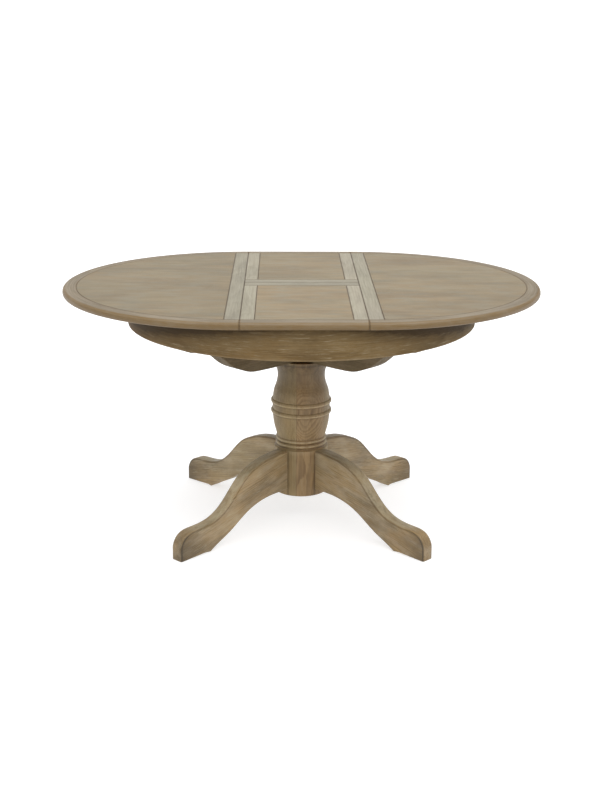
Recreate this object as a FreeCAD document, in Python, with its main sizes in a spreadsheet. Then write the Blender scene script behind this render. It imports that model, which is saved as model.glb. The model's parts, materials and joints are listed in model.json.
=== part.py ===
import FreeCAD, Part
import Sketcher

import math
import os

# Extending pedestal dining table, standing open on its folding leaf.
# The floor is Z = 0, the column stands on the origin, and the top opens along X.
# Each half of the top slides over a fixed round apron, on runners that ride on two guides.
# A rack on every runner meshes with a pinion in the guide, so the halves open by the same amount.
# The leaf between the halves is in two parts, hinged together, and folds up into the well.

SIZES = {
    # Top
    "table_height": 767.0,
    "top_radius": 554.0,
    "top_thickness": 22.0,
    "leaf_width": 352.0,
    "seam_gap": 0.3,
    "fold_gap": 0.3,
    "rim_width": 42.0,
    "half_stile_width": 43.0,
    "leaf_stile_width": 40.0,
    "mid_rail_width": 46.0,
    "edge_round": 11.0,
    "edge_under_round": 9.0,
    "groove_chamfer": 1.2,
    # Apron
    "top_overhang": 19.5,
    "apron_thickness": 22.0,
    "apron_depth": 90.5,
    "top_running_gap": 0.5,
    "seat_gap": 0.2,
    "apron_ease": 3.0,
    "block_width": 60.0,
    "block_height": 40.0,
    "block_reach": 34.0,
    "glide_radius": 7.0,
    "glide_depth": 5.0,
    # Guides, runners and their gears
    "guide_setback": 192.5,
    "guide_thickness": 30.0,
    "guide_headroom": 4.0,
    "runner_gap": 0.5,
    "runner_thickness": 22.0,
    "runner_depth": 40.0,
    "open_travel": 30.0,
    "runner_end_clearance": 0.7,
    "runner_inner_end": 100.0,
    "tongue_reach": 6.0,
    "tongue_height": 10.0,
    "tongue_drop": 7.0,
    "tongue_clearance": 0.3,
    "gear_drop": 30.0,
    "gear_module": 2.0,
    "rack_height": 12.0,
    "rack_travel_in": 196.0,
    "rack_travel_out": 52.0,
    "rack_back_thickness": 4.0,
    "pinion_height": 11.0,
    "gear_backlash": 0.2,
    "gear_clearance": 1.0,
    "gear_pin_radius": 3.0,
    "gear_pin_fit": 0.05,
    "gear_pin_rise": 26.0,
    "gear_pin_drop": 24.0,
    # Cross rails and the floor of the well
    "cross_rail_offset": 212.0,
    "cross_rail_thickness": 25.0,
    "cross_rail_height": 36.0,
    "floor_thickness": 6.0,
    # Bearers
    "bearer_end_length": 27.5,
    "bearer_depth": 125.0,
    "bearer_thickness": 60.0,
    "bearer_bolt_offset": 52.0,
    "bearer_bolt_radius": 4.0,
    "bearer_bolt_grip": 55.0,
    "bearer_bolt_head_radius": 9.0,
    "bearer_bolt_head_height": 6.0,
    "bearer_bolt_recess": 12.0,
    # Column
    "rim_radius": 86.0,
    "rim_height": 10.0,
    "belly_radius": 90.6,
    "belly_height": 400.3,
    "bead_radius": 95.7,
    "bead_height": 15.0,
    "bead_spacing": 32.5,
    "waist_height": 280.0,
    "collar_radius": 79.8,
    "collar_foot_radius": 80.8,
    "collar_height": 13.2,
    "collar_step": 1.2,
    "block_radius": 85.0,
    "block_top": 244.0,
    "block_foot": 95.7,
    "block_ease": 3.0,
    "bore_radius": 34.0,
    "bore_top": 262.0,
    # Legs
    "leg_reach": 528.0,
    "leg_height": 244.0,
    "leg_thickness": 41.0,
    "leg_top_round": 5.0,
    "glide_height": 2.0,
    "foot_glide_radius": 14.0,
    "foot_glide_inset": 52.0,
    "leg_bolt_upper": 205.0,
    "leg_bolt_lower": 142.0,
    "leg_bolt_radius": 4.0,
    "leg_bolt_grip": 62.0,
    "leg_bolt_tail": 15.0,
    "leg_nut_radius": 7.5,
    "leg_nut_height": 6.5,
    "leg_washer_radius": 10.0,
    "leg_washer_height": 2.0,
    "leg_dowel_radius": 6.0,
    "leg_dowel_grip": 30.0,
    # Screws
    "screw_radius": 2.25,
    "screw_head_radius": 4.5,
    "screw_head_height": 4.0,
    "screw_grip": 14.0,
    "guide_screw_shoulder": 10.0,
    "guide_screw_grip": 26.0,
    "runner_screw_inset": 22.0,
    # Table locks
    "lock_rim_distance": 100.5,
    "lock_setback": 26.0,
    "lock_plate_length": 40.0,
    "lock_plate_width": 30.0,
    "lock_plate_thickness": 2.0,
    "lock_pin_radius": 3.0,
    "lock_pin_drop": 9.0,
    "lock_pin_fit": 0.08,
    "lock_pin_head_radius": 5.0,
    "lock_pin_head_height": 1.5,
    "lever_thickness": 4.0,
    "lever_width": 14.0,
    "lever_reach": 44.0,
    "lever_nose": 7.0,
    "lever_notch_clearance": 1.2,
    "lever_gap": 0.3,
    "lever_tab_length": 14.0,
    "lever_tab_width": 4.0,
    "lever_tab_drop": 9.0,
    # Hinges of the leaf
    "hinge_offset": 118.0,
    "hinge_cup_radius": 8.0,
    "hinge_cup_depth": 13.0,
    "hinge_axis_rise": 0.25,
    "hinge_slot_width": 3.6,
    "hinge_slot_top": 7.0,
    "hinge_slot_bottom": 18.0,
    "hinge_slot_depth": 9.6,
    "hinge_link_thickness": 3.0,
    "hinge_link_reach": 9.0,
    "hinge_link_height": 7.6,
}

PINION_TEETH = 18
PRESSURE_ANGLE = math.radians(20.0)
ADDENDUM_SHARE = 1.0
DEDENDUM_SHARE = 1.25
FLANK_POINTS = 6
LEG_LABELS = ("leg_rear_right", "leg_rear_left", "leg_front_left", "leg_front_right")
FIRST_LEG_ANGLE = 45.0
LEG_ANGLE_STEP = 90.0
LEG_TURNS = {label: FIRST_LEG_ANGLE + LEG_ANGLE_STEP * index for index, label in enumerate(LEG_LABELS)}
APRON_GLIDE_TURNS = (15.0, 45.0, 80.0, 100.0, 135.0, 165.0, 195.0, 225.0, 260.0, 280.0, 315.0, 345.0)
RUNNER_SCREWS = 3
RUNNER_SCREW_SHARE = 0.7
LEVER_NOTCH_SHARE = 0.75
SHOULDER_SHARE = 0.33
TOP_ARRIS_SHARE = 0.4
TOOTH_FOOT_SHARE = 0.96
HINGE_PLACES = (-1.0, 0.0, 1.0)

# Outlines of the leg, outwards from the column: shares of its reach and of its height.
LEG_TOP_SHARES = (
    (0.04, 1.0), (0.132, 0.985), (0.207, 0.963), (0.28, 0.924), (0.376, 0.841), (0.421, 0.777),
    (0.469, 0.69), (0.513, 0.605), (0.558, 0.526), (0.604, 0.46), (0.661, 0.404), (0.718, 0.372),
    (0.775, 0.356), (0.831, 0.35), (0.877, 0.346), (0.911, 0.337), (0.945, 0.313), (0.973, 0.27),
    (0.991, 0.216), (1.0, 0.152),
)
LEG_UNDERSIDE_SHARES = (
    (0.735, 0.0), (0.716, 0.021), (0.69, 0.048), (0.647, 0.087), (0.577, 0.148), (0.486, 0.245),
    (0.406, 0.335), (0.319, 0.406), (0.239, 0.446), (0.148, 0.468), (0.05, 0.472),
)
# Underside of a bearer's arm: shares of its reach and of its depth, from the middle outwards.
BEARER_SHARES = (
    (0.3, 1.0), (0.361, 0.998), (0.421, 0.991), (0.485, 0.978), (0.531, 0.944), (0.573, 0.888),
    (0.635, 0.782), (0.683, 0.668), (0.717, 0.56), (0.755, 0.446), (0.79, 0.366), (0.83, 0.306),
    (0.88, 0.252), (0.94, 0.2), (1.0, 0.16),
)
# The column's swelling above its beads, upwards: shares of the belly's radius and of the rise.
VASE_SHARES = (
    (1.0, 0.0), (0.991, 0.042), (0.974, 0.127), (0.954, 0.213), (0.92, 0.3), (0.88, 0.385),
    (0.848, 0.471), (0.822, 0.624), (0.831, 0.727), (0.876, 0.86), (0.962, 1.0),
)
# Its taper below the beads, downwards: shares of the belly's radius and of the fall.
TAPER_SHARES = (
    (1.0, 0.0), (0.983, 0.184), (0.967, 0.361), (0.94, 0.539), (0.904, 0.716), (0.872, 0.853),
    (0.855, 0.947), (0.852, 1.0),
)


class Dim:
    """A length in millimetres, together with the sheet formula that gives it."""

    def __init__(self, value, formula):
        self.value = value
        self.formula = formula

    def __add__(self, other):
        other = as_dim(other)
        return Dim(self.value + other.value, f"({self.formula} + {other.formula})")

    def __sub__(self, other):
        other = as_dim(other)
        return Dim(self.value - other.value, f"({self.formula} - {other.formula})")

    def __mul__(self, number):
        number = as_dim(number)
        return Dim(self.value * number.value, f"({self.formula} * {number.formula})")

    def __truediv__(self, number):
        number = as_dim(number)
        return Dim(self.value / number.value, f"({self.formula} / {number.formula})")

    def __neg__(self):
        return Dim(-self.value, f"(0 - {self.formula})")

    def root(self):
        """The square root, for the side of a triangle."""
        return Dim(math.sqrt(self.value), f"sqrt({self.formula})")


def as_dim(number):
    """A plain number as a Dim; a Dim stays as it is."""
    if isinstance(number, Dim):
        return number
    return Dim(float(number), repr(float(number)))


class Sizes:
    """The driving dimensions in a spreadsheet, each read by its name as a Dim."""

    def __init__(self, document, table):
        self.table = table
        self.sheet = document.addObject("Spreadsheet::Sheet", "Sizes")
        for row, (name, value) in enumerate(table.items(), start=1):
            self.sheet.set(f"A{row}", name)
            self.sheet.set(f"B{row}", str(value))
            self.sheet.setAlias(f"B{row}", name)

    def __getattr__(self, name):
        return Dim(self.table[name], f"Sizes.{name}")


doc = FreeCAD.newDocument("ExtendingPedestalTable")
size = Sizes(doc, SIZES)
doc.recompute()
pieces = {}

# Heights and places that several pieces share
top_underside = size.table_height - size.top_thickness
apron_top = top_underside - size.top_running_gap
frame_bottom = apron_top - size.apron_depth
apron_radius = size.top_radius - size.top_overhang
apron_bore = apron_radius - size.apron_thickness
seam = size.leaf_width / 2
guide_offset = apron_bore - size.guide_setback
well_half = guide_offset - size.guide_thickness / 2
guide_top = top_underside - size.guide_headroom
runner_near = size.guide_thickness / 2 + size.runner_gap
runner_far = guide_offset + runner_near + size.runner_thickness
runner_limit = (apron_bore * apron_bore - runner_far * runner_far).root()
runner_outer_end = runner_limit - size.open_travel - size.runner_end_clearance
runner_screw_start = seam + size.runner_screw_inset
runner_screw_span = runner_outer_end - size.runner_screw_inset - runner_screw_start
lock_offset = apron_bore - size.lock_rim_distance
screw_reach = (guide_offset * guide_offset * 2).root()
bearer_reach = screw_reach + size.bearer_end_length
leg_dowel_height = (size.leg_bolt_upper + size.leg_bolt_lower) / 2
runner_bottom = top_underside - size.runner_depth
tongue_top = top_underside - size.tongue_drop
gear_height = top_underside - size.gear_drop
pitch_radius = size.gear_module * PINION_TEETH / 2
column_top = frame_bottom - size.bearer_depth
overrun = size.top_thickness


def vector(x, y, z=0.0):
    """A FreeCAD vector from Dims or numbers."""
    return FreeCAD.Vector(as_dim(x).value, as_dim(y).value, as_dim(z).value)


def turn_about_z(degrees):
    """A rotation about the column's axis."""
    return FreeCAD.Rotation(FreeCAD.Vector(0, 0, 1), degrees)


def seat(item, corner):
    """Binds the place of a primitive to the sheet."""
    for axis, length in zip("xyz", corner):
        item.setExpression(f".Placement.Base.{axis}", as_dim(length).formula)


def box(name, corner, extent):
    """A box from its lowest corner and its three lengths."""
    item = doc.addObject("Part::Box", name)
    for side, length in zip(("Length", "Width", "Height"), extent):
        item.setExpression(side, as_dim(length).formula)
    seat(item, corner)
    return item


def cylinder(name, start, radius, length, along="Z"):
    """A cylinder from the middle of its first end, along Z or Y."""
    item = doc.addObject("Part::Cylinder", name)
    item.setExpression("Radius", as_dim(radius).formula)
    item.setExpression("Height", as_dim(length).formula)
    if along == "Y":
        lying = FreeCAD.Rotation(FreeCAD.Vector(1, 0, 0), -90.0)
        item.Placement = FreeCAD.Placement(FreeCAD.Vector(), lying)
    seat(item, start)
    return item


def radial_cylinder(name, turn, start, height, radius, length):
    """A cylinder that points away from the column's axis, turned about it by some degrees."""
    item = cylinder(name, (0, 0, 0), radius, length)
    outwards = FreeCAD.Rotation(FreeCAD.Vector(0, 1, 0), 90.0)
    item.Placement = FreeCAD.Placement(FreeCAD.Vector(), turn_about_z(turn).multiply(outwards))
    angle = math.radians(turn)
    seat(item, (start * math.cos(angle), start * math.sin(angle), height))
    return item


def hexagon(name, turn, start, height, radius, length):
    """A hexagonal prism that points away from the column's axis."""
    item = doc.addObject("Part::Prism", name)
    item.Polygon = 6
    item.setExpression("Circumradius", as_dim(radius).formula)
    item.setExpression("Height", as_dim(length).formula)
    outwards = FreeCAD.Rotation(FreeCAD.Vector(0, 1, 0), 90.0)
    item.Placement = FreeCAD.Placement(FreeCAD.Vector(), turn_about_z(turn).multiply(outwards))
    angle = math.radians(turn)
    seat(item, (start * math.cos(angle), start * math.sin(angle), height))
    return item


def fuse(name, items):
    """Several solids as one."""
    if len(items) == 1:
        return items[0]
    item = doc.addObject("Part::MultiFuse", name)
    item.Shapes = items
    return item


def cut(name, base, tools):
    """A solid less its cutters."""
    item = doc.addObject("Part::Cut", name)
    item.Base = base
    item.Tool = fuse(f"{name}_cutters", tools)
    return item


def common(name, first, second):
    """What two solids share."""
    item = doc.addObject("Part::Common", name)
    item.Base = first
    item.Tool = second
    return item


def group(name, items):
    """Separate solids of one kind, kept together."""
    item = doc.addObject("Part::Compound", name)
    item.Links = items
    return item


def piece(label, item, turn=0.0):
    """Names a finished piece and turns it about the column's axis."""
    if turn and not item.isDerivedFrom("Part::Compound"):
        item = group(f"{label}_turned", [item])
    if turn:
        item.Placement = FreeCAD.Placement(FreeCAD.Vector(), turn_about_z(turn))
    item.Label = label
    pieces[label] = item
    return item


def new_body(name):
    """An empty body."""
    return doc.addObject("PartDesign::Body", name)


def sketch_on(body, role, name, height=None):
    """A sketch on one of the body's own planes, lifted off it by a height."""
    sketch = body.newObject("Sketcher::SketchObject", name)
    plane = next(item for item in body.Origin.OriginFeatures if item.Role == role)
    sketch.AttachmentSupport = [(plane, "")]
    sketch.MapMode = "FlatFace"
    if height is not None:
        sketch.setExpression(".AttachmentOffset.Base.z", as_dim(height).formula)
    return sketch


def pin_point(sketch, curve, end, point):
    """Holds one end of a sketch curve at a point given by Dims."""
    for kind, length in zip(("DistanceX", "DistanceY"), point):
        length = as_dim(length)
        rule = Sketcher.Constraint(kind, -1, 1, curve, end, length.value)
        index = sketch.addConstraint(rule)
        sketch.setExpression(f"Constraints[{index}]", length.formula)


def draw_polygon(sketch, points):
    """A closed outline of straight lines, each corner bound to the sheet."""
    first = sketch.GeometryCount
    count = len(points)
    for index, point in enumerate(points):
        following = points[(index + 1) % count]
        sketch.addGeometry(Part.LineSegment(vector(*point), vector(*following)), False)
    for index in range(count):
        rule = Sketcher.Constraint("Coincident", first + index, 2, first + (index + 1) % count, 1)
        sketch.addConstraint(rule)
    for index, point in enumerate(points):
        pin_point(sketch, first + index, 1, point)


def draw_circle(sketch, centre, radius):
    """A circle with its centre and radius bound to the sheet."""
    radius = as_dim(radius)
    circle = Part.Circle(vector(*centre), FreeCAD.Vector(0, 0, 1), radius.value)
    curve = sketch.addGeometry(circle, False)
    index = sketch.addConstraint(Sketcher.Constraint("Radius", curve, radius.value))
    sketch.setExpression(f"Constraints[{index}]", radius.formula)
    pin_point(sketch, curve, 3, centre)


def spline_through(points, start_along=None, end_along=None):
    """A smooth curve through points, with its end directions held where they are given."""
    curve = Part.BSplineCurve()
    if start_along is None:
        curve.interpolate(points)
    else:
        curve.interpolate(Points=points, InitialTangent=start_along, FinalTangent=end_along)
    return curve


def line_between(start, end):
    """A straight edge for an outline."""
    return Part.LineSegment(start, end)


def add_pad(body, sketch, length, symmetric=False):
    """Extrudes a sketch of the body."""
    pad = body.newObject("PartDesign::Pad", f"{sketch.Name}_pad")
    pad.Profile = sketch
    pad.setExpression("Length", as_dim(length).formula)
    if symmetric:
        pad.SideType = "Symmetric"
    return pad


def add_pocket(body, sketch, length, reverse=False, symmetric=False):
    """Cuts a sketch out of the body, and checks that it does remove wood."""
    doc.recompute()
    before = body.Shape.Volume
    pocket = body.newObject("PartDesign::Pocket", f"{sketch.Name}_pocket")
    pocket.Profile = sketch
    pocket.setExpression("Length", as_dim(length).formula)
    pocket.Reversed = reverse
    if symmetric:
        pocket.SideType = "Symmetric"
    doc.recompute()
    if not body.Shape.Volume < before:
        raise ValueError(f"{pocket.Name} removes nothing")
    return pocket


def add_pattern(body, feature, count):
    """Repeats a feature evenly about the body's upright axis."""
    pattern = body.newObject("PartDesign::PolarPattern", f"{feature.Name}_pattern")
    pattern.Originals = [feature]
    axis = next(item for item in body.Origin.OriginFeatures if item.Role == "Z_Axis")
    pattern.Axis = (axis, [""])
    pattern.Angle = 360.0
    pattern.Occurrences = count
    body.Tip = pattern
    doc.recompute()
    return pattern


def edge_names(shape, wanted):
    """The names of the edges whose middle and length pass a test."""
    names = []
    for index, edge in enumerate(shape.Edges, start=1):
        middle = edge.valueAt((edge.FirstParameter + edge.LastParameter) / 2)
        if wanted(middle, edge):
            names.append(f"Edge{index}")
    return names


def add_edge_dress(body, kind, size_dim, wanted):
    """Rounds (Fillet) or bevels (Chamfer) the edges that pass a test."""
    doc.recompute()
    names = edge_names(body.Tip.Shape, wanted)
    if not names:
        raise ValueError(f"{body.Name} has no edge to dress")
    base = body.Tip
    dress = body.newObject(f"PartDesign::{kind}", f"{body.Name}_{kind}_{len(body.Group)}")
    dress.Base = (base, names)
    if kind == "Fillet":
        dress.setExpression("Radius", size_dim.formula)
    else:
        dress.setExpression("Size", size_dim.formula)
    doc.recompute()
    return dress


def near(value, length):
    """Whether a coordinate lies at a length."""
    return math.isclose(value, as_dim(length).value, rel_tol=1e-6, abs_tol=1e-4)


def make_column():
    """The turned column: vase, two beads, a ringed collar and the block that takes the legs."""
    body = new_body("column")
    sketch = sketch_on(body, "XZ_Plane", "column_outline")
    belly = size.belly_radius.value
    top = column_top.value
    rim_foot = top - size.rim_height.value
    upper = size.belly_height.value
    bead = size.bead_height.value
    spacing = size.bead_spacing.value
    taper_top = upper - spacing - bead
    waist = size.waist_height.value
    block = size.block_radius.value
    ease = size.block_ease.value
    vase = [FreeCAD.Vector(belly * r, upper + (rim_foot - upper) * z, 0) for r, z in VASE_SHARES]
    taper = [FreeCAD.Vector(belly * r, taper_top - (taper_top - waist) * z, 0) for r, z in TAPER_SHARES]
    edges = [spline_through(vase)]
    corners = [vase[0]]

    def arc_to(middle, end):
        edges.append(Part.Arc(corners[-1], middle, end))
        corners.append(end)

    def line_to(end):
        edges.append(line_between(corners[-1], end))
        corners.append(end)

    bead_out = size.bead_radius.value
    arc_to(FreeCAD.Vector(bead_out, upper - bead / 2, 0), FreeCAD.Vector(belly, upper - bead, 0))
    line_to(FreeCAD.Vector(belly, upper - spacing, 0))
    arc_to(FreeCAD.Vector(bead_out, upper - spacing - bead / 2, 0), FreeCAD.Vector(belly, taper_top, 0))
    edges.append(spline_through(taper))
    corners.append(taper[-1])
    collar = size.collar_height.value
    step = size.collar_step.value
    neck = taper[-1].x
    line_to(FreeCAD.Vector(neck, waist - step, 0))
    ring = waist - step
    crest = FreeCAD.Vector(size.collar_radius.value, ring - collar / 2, 0)
    arc_to(crest, FreeCAD.Vector(neck, ring - collar, 0))
    line_to(FreeCAD.Vector(neck + step / 2, ring - collar - step, 0))
    ring = ring - collar - step
    foot = FreeCAD.Vector(neck + step, ring - collar, 0)
    arc_to(FreeCAD.Vector(size.collar_foot_radius.value, ring - collar / 2, 0), foot)
    shoulder = FreeCAD.Vector(block, size.block_top.value, 0)
    hollow = FreeCAD.Vector(foot.x + (block - foot.x) * SHOULDER_SHARE, (foot.y + shoulder.y) / 2, 0)
    arc_to(hollow, shoulder)
    line_to(FreeCAD.Vector(block, size.block_foot.value + ease, 0))
    line_to(FreeCAD.Vector(block - ease, size.block_foot.value, 0))
    line_to(FreeCAD.Vector(size.bore_radius.value, size.block_foot.value, 0))
    line_to(FreeCAD.Vector(size.bore_radius.value, size.bore_top.value, 0))
    line_to(FreeCAD.Vector(0, size.bore_top.value, 0))
    line_to(FreeCAD.Vector(0, top, 0))
    line_to(FreeCAD.Vector(size.rim_radius.value, top, 0))
    line_to(FreeCAD.Vector(size.rim_radius.value, rim_foot, 0))
    line_to(vase[-1])
    for edge in edges:
        sketch.addGeometry(edge, False)
    turned = body.newObject("PartDesign::Revolution", "column_turned")
    turned.Profile = sketch
    turned.ReferenceAxis = (sketch, ["V_Axis"])
    turned.Angle = 360.0
    doc.recompute()

    bolts = sketch_on(body, "YZ_Plane", "column_leg_bolt_holes")
    for height in (size.leg_bolt_upper, size.leg_bolt_lower):
        draw_circle(bolts, (0, height), size.leg_bolt_radius)
    holes = add_pocket(body, bolts, size.block_radius + size.bead_height, reverse=True)
    add_pattern(body, holes, len(LEG_TURNS))

    dowels = sketch_on(body, "YZ_Plane", "column_dowel_holes", size.block_radius - size.leg_dowel_grip)
    draw_circle(dowels, (0, leg_dowel_height), size.leg_dowel_radius)
    sockets = add_pocket(body, dowels, size.leg_dowel_grip + size.bead_height, reverse=True)
    add_pattern(body, sockets, len(LEG_TURNS))

    lags = sketch_on(body, "XY_Plane", "column_bearer_bolt_holes", column_top)
    draw_circle(lags, (size.bearer_bolt_offset, 0), size.bearer_bolt_radius)
    bores = add_pocket(body, lags, size.bearer_bolt_grip)
    add_pattern(body, bores, len(LEG_TURNS))
    body.Placement = FreeCAD.Placement(FreeCAD.Vector(), turn_about_z(FIRST_LEG_ANGLE))
    return piece("column", body)


def make_leg(label, turn):
    """A sawn leg: an S outline of even thickness, its inner end coped to the column."""
    body = new_body(label)
    sketch = sketch_on(body, "XZ_Plane", f"{label}_outline")
    start = size.block_radius.value
    run = size.leg_reach.value - start
    sole = size.glide_height.value
    rise = size.leg_height.value - sole

    def at(share):
        return FreeCAD.Vector(start + run * share[0], sole + rise * share[1], 0)

    outwards = FreeCAD.Vector(1, 0, 0)
    downwards = FreeCAD.Vector(0, -1, 0)
    inner = size.bore_radius.value
    upper = [at(share) for share in LEG_TOP_SHARES]
    under = [at(share) for share in LEG_UNDERSIDE_SHARES]
    upper_inner = FreeCAD.Vector(inner, upper[0].y, 0)
    under_inner = FreeCAD.Vector(inner, under[-1].y, 0)
    toe = FreeCAD.Vector(start + run, sole, 0)
    heel_along = under[1] - under[0]
    for edge in (
        line_between(upper_inner, upper[0]),
        spline_through(upper, outwards, downwards),
        line_between(upper[-1], toe),
        line_between(toe, under[0]),
        spline_through(under, heel_along, -outwards),
        line_between(under[-1], under_inner),
        line_between(under_inner, upper_inner),
    ):
        sketch.addGeometry(edge, False)
    add_pad(body, sketch, size.leg_thickness, symmetric=True)
    side = size.leg_thickness.value / 2
    underside_top = sole + rise * TOP_ARRIS_SHARE

    def is_top_arris(middle, edge):
        return near(abs(middle.y), side) and edge.Length > run / 2 and middle.z > underside_top

    add_edge_dress(body, "Fillet", size.leg_top_round, is_top_arris)

    cope = sketch_on(body, "XY_Plane", f"{label}_cope")
    draw_circle(cope, (0, 0), size.block_radius)
    add_pocket(body, cope, size.leg_height + size.bead_height, reverse=True)
    bolts = sketch_on(body, "YZ_Plane", f"{label}_bolt_holes")
    for height in (size.leg_bolt_upper, size.leg_bolt_lower):
        draw_circle(bolts, (0, height), size.leg_bolt_radius)
    add_pocket(body, bolts, size.block_radius + size.leg_bolt_grip, reverse=True)
    dowel = sketch_on(body, "YZ_Plane", f"{label}_dowel_hole")
    draw_circle(dowel, (0, leg_dowel_height), size.leg_dowel_radius)
    add_pocket(body, dowel, size.block_radius + size.leg_dowel_grip, reverse=True)
    body.Placement = FreeCAD.Placement(FreeCAD.Vector(), turn_about_z(turn))
    return piece(label, body)


def make_leg_fixings():
    """Two hanger bolts with washers and nuts, and one dowel, for each leg; and a glide under it."""
    bolts = []
    nuts = []
    washers = []
    dowels = []
    glides = []
    washer_face = (size.bore_radius * size.bore_radius
                   - size.leg_washer_radius * size.leg_washer_radius).root()
    washer_start = washer_face - size.leg_washer_height
    nut_start = washer_start - size.leg_nut_height
    bolt_start = size.bore_radius - size.leg_bolt_tail
    bolt_length = size.block_radius + size.leg_bolt_grip - bolt_start
    for label, turn in LEG_TURNS.items():
        for height in (size.leg_bolt_upper, size.leg_bolt_lower):
            mark = f"{label}_{len(bolts)}"
            bolts.append(radial_cylinder(f"{mark}_bolt", turn, bolt_start, height,
                                         size.leg_bolt_radius, bolt_length))
            nut = hexagon(f"{mark}_nut_blank", turn, nut_start, height,
                          size.leg_nut_radius, size.leg_nut_height)
            washer = radial_cylinder(f"{mark}_washer_blank", turn, washer_start, height,
                                     size.leg_washer_radius, size.leg_washer_height)
            nuts.append(cut(f"{mark}_nut", nut, [bolts[-1]]))
            washers.append(cut(f"{mark}_washer", washer, [bolts[-1]]))
        dowel_start = size.block_radius - size.leg_dowel_grip
        dowels.append(radial_cylinder(f"{label}_dowel", turn, dowel_start, leg_dowel_height,
                                      size.leg_dowel_radius, size.leg_dowel_grip * 2))
        reach = size.leg_reach - size.foot_glide_inset
        angle = math.radians(turn)
        centre = (reach * math.cos(angle), reach * math.sin(angle), 0)
        glides.append(cylinder(f"{label}_glide", centre, size.foot_glide_radius, size.glide_height))
    piece("leg_bolts", group("leg_bolt_group", bolts))
    piece("leg_nuts", group("leg_nut_group", nuts))
    piece("leg_washers", group("leg_washer_group", washers))
    piece("leg_dowels", group("leg_dowel_group", dowels))
    piece("foot_glides", group("foot_glide_group", glides))


def make_bearer(label, turn, notch_above):
    """An ogee arm each way from the middle, half-lapped over or under the other bearer."""
    body = new_body(label)
    sketch = sketch_on(body, "XZ_Plane", f"{label}_outline")
    reach = bearer_reach.value
    top = frame_bottom.value
    depth = size.bearer_depth.value
    right = [FreeCAD.Vector(reach * r, top - depth * drop, 0) for r, drop in BEARER_SHARES]
    left = [FreeCAD.Vector(-point.x, point.y, 0) for point in right]
    outwards = FreeCAD.Vector(1, 0, 0)
    corner = FreeCAD.Vector(reach, top, 0)
    other = FreeCAD.Vector(-reach, top, 0)
    right_end = right[-1] - right[-2]
    left_end = left[-1] - left[-2]
    for edge in (
        spline_through(right, outwards, right_end),
        line_between(right[-1], corner),
        line_between(corner, other),
        line_between(other, left[-1]),
        spline_through(left, -outwards, left_end),
        line_between(left[0], right[0]),
    ):
        sketch.addGeometry(edge, False)
    add_pad(body, sketch, size.bearer_thickness, symmetric=True)

    half = size.bearer_thickness / 2
    middle = frame_bottom - size.bearer_depth / 2
    ends = (middle, frame_bottom + overrun) if notch_above else (column_top - overrun, middle)
    notch = sketch_on(body, "XZ_Plane", f"{label}_notch")
    draw_polygon(notch, ((-half, ends[0]), (half, ends[0]), (half, ends[1]), (-half, ends[1])))
    add_pocket(body, notch, size.bearer_thickness * 2, symmetric=True)

    bolts = sketch_on(body, "XY_Plane", f"{label}_bolt_holes", frame_bottom)
    recesses = sketch_on(body, "XY_Plane", f"{label}_bolt_recesses", frame_bottom)
    screws = sketch_on(body, "XY_Plane", f"{label}_screw_holes", frame_bottom)
    heads = sketch_on(body, "XY_Plane", f"{label}_screw_recesses", frame_bottom - size.guide_screw_shoulder)
    for sign in (1, -1):
        draw_circle(bolts, (size.bearer_bolt_offset * sign, 0), size.bearer_bolt_radius)
        draw_circle(recesses, (size.bearer_bolt_offset * sign, 0), size.bearer_bolt_head_radius)
        draw_circle(screws, (screw_reach * sign, 0), size.screw_radius)
        draw_circle(heads, (screw_reach * sign, 0), size.screw_head_radius)
    add_pocket(body, bolts, size.bearer_depth + overrun)
    add_pocket(body, recesses, size.bearer_bolt_recess)
    add_pocket(body, screws, size.bearer_depth)
    add_pocket(body, heads, size.bearer_depth)
    body.Placement = FreeCAD.Placement(FreeCAD.Vector(), turn_about_z(turn))
    return piece(label, body)


def make_frame_fixings():
    """Coach bolts down into the column, and screws up through the bearers into the guides."""
    bolts = []
    screws = []
    head_foot = frame_bottom - size.bearer_bolt_recess
    shank_foot = column_top - size.bearer_bolt_grip
    shoulder = frame_bottom - size.guide_screw_shoulder
    for turn in LEG_TURNS.values():
        angle = math.radians(turn)
        across = (math.cos(angle), math.sin(angle))
        x, y = (size.bearer_bolt_offset * share for share in across)
        shank = cylinder(f"coach_shank_{turn:.0f}", (x, y, shank_foot), size.bearer_bolt_radius,
                         head_foot - shank_foot)
        head = cylinder(f"coach_head_{turn:.0f}", (x, y, head_foot), size.bearer_bolt_head_radius,
                        size.bearer_bolt_head_height)
        bolts.append(fuse(f"coach_bolt_{turn:.0f}", [shank, head]))
        x, y = (screw_reach * share for share in across)
        shank = cylinder(f"screw_shank_{turn:.0f}", (x, y, shoulder), size.screw_radius,
                         size.guide_screw_grip)
        head = cylinder(f"screw_head_{turn:.0f}", (x, y, shoulder - size.screw_head_height),
                        size.screw_head_radius, size.screw_head_height)
        screws.append(fuse(f"guide_screw_{turn:.0f}", [shank, head]))
    piece("bearer_bolts", group("bearer_bolt_group", bolts))
    piece("guide_screws", group("guide_screw_group", screws))


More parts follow.
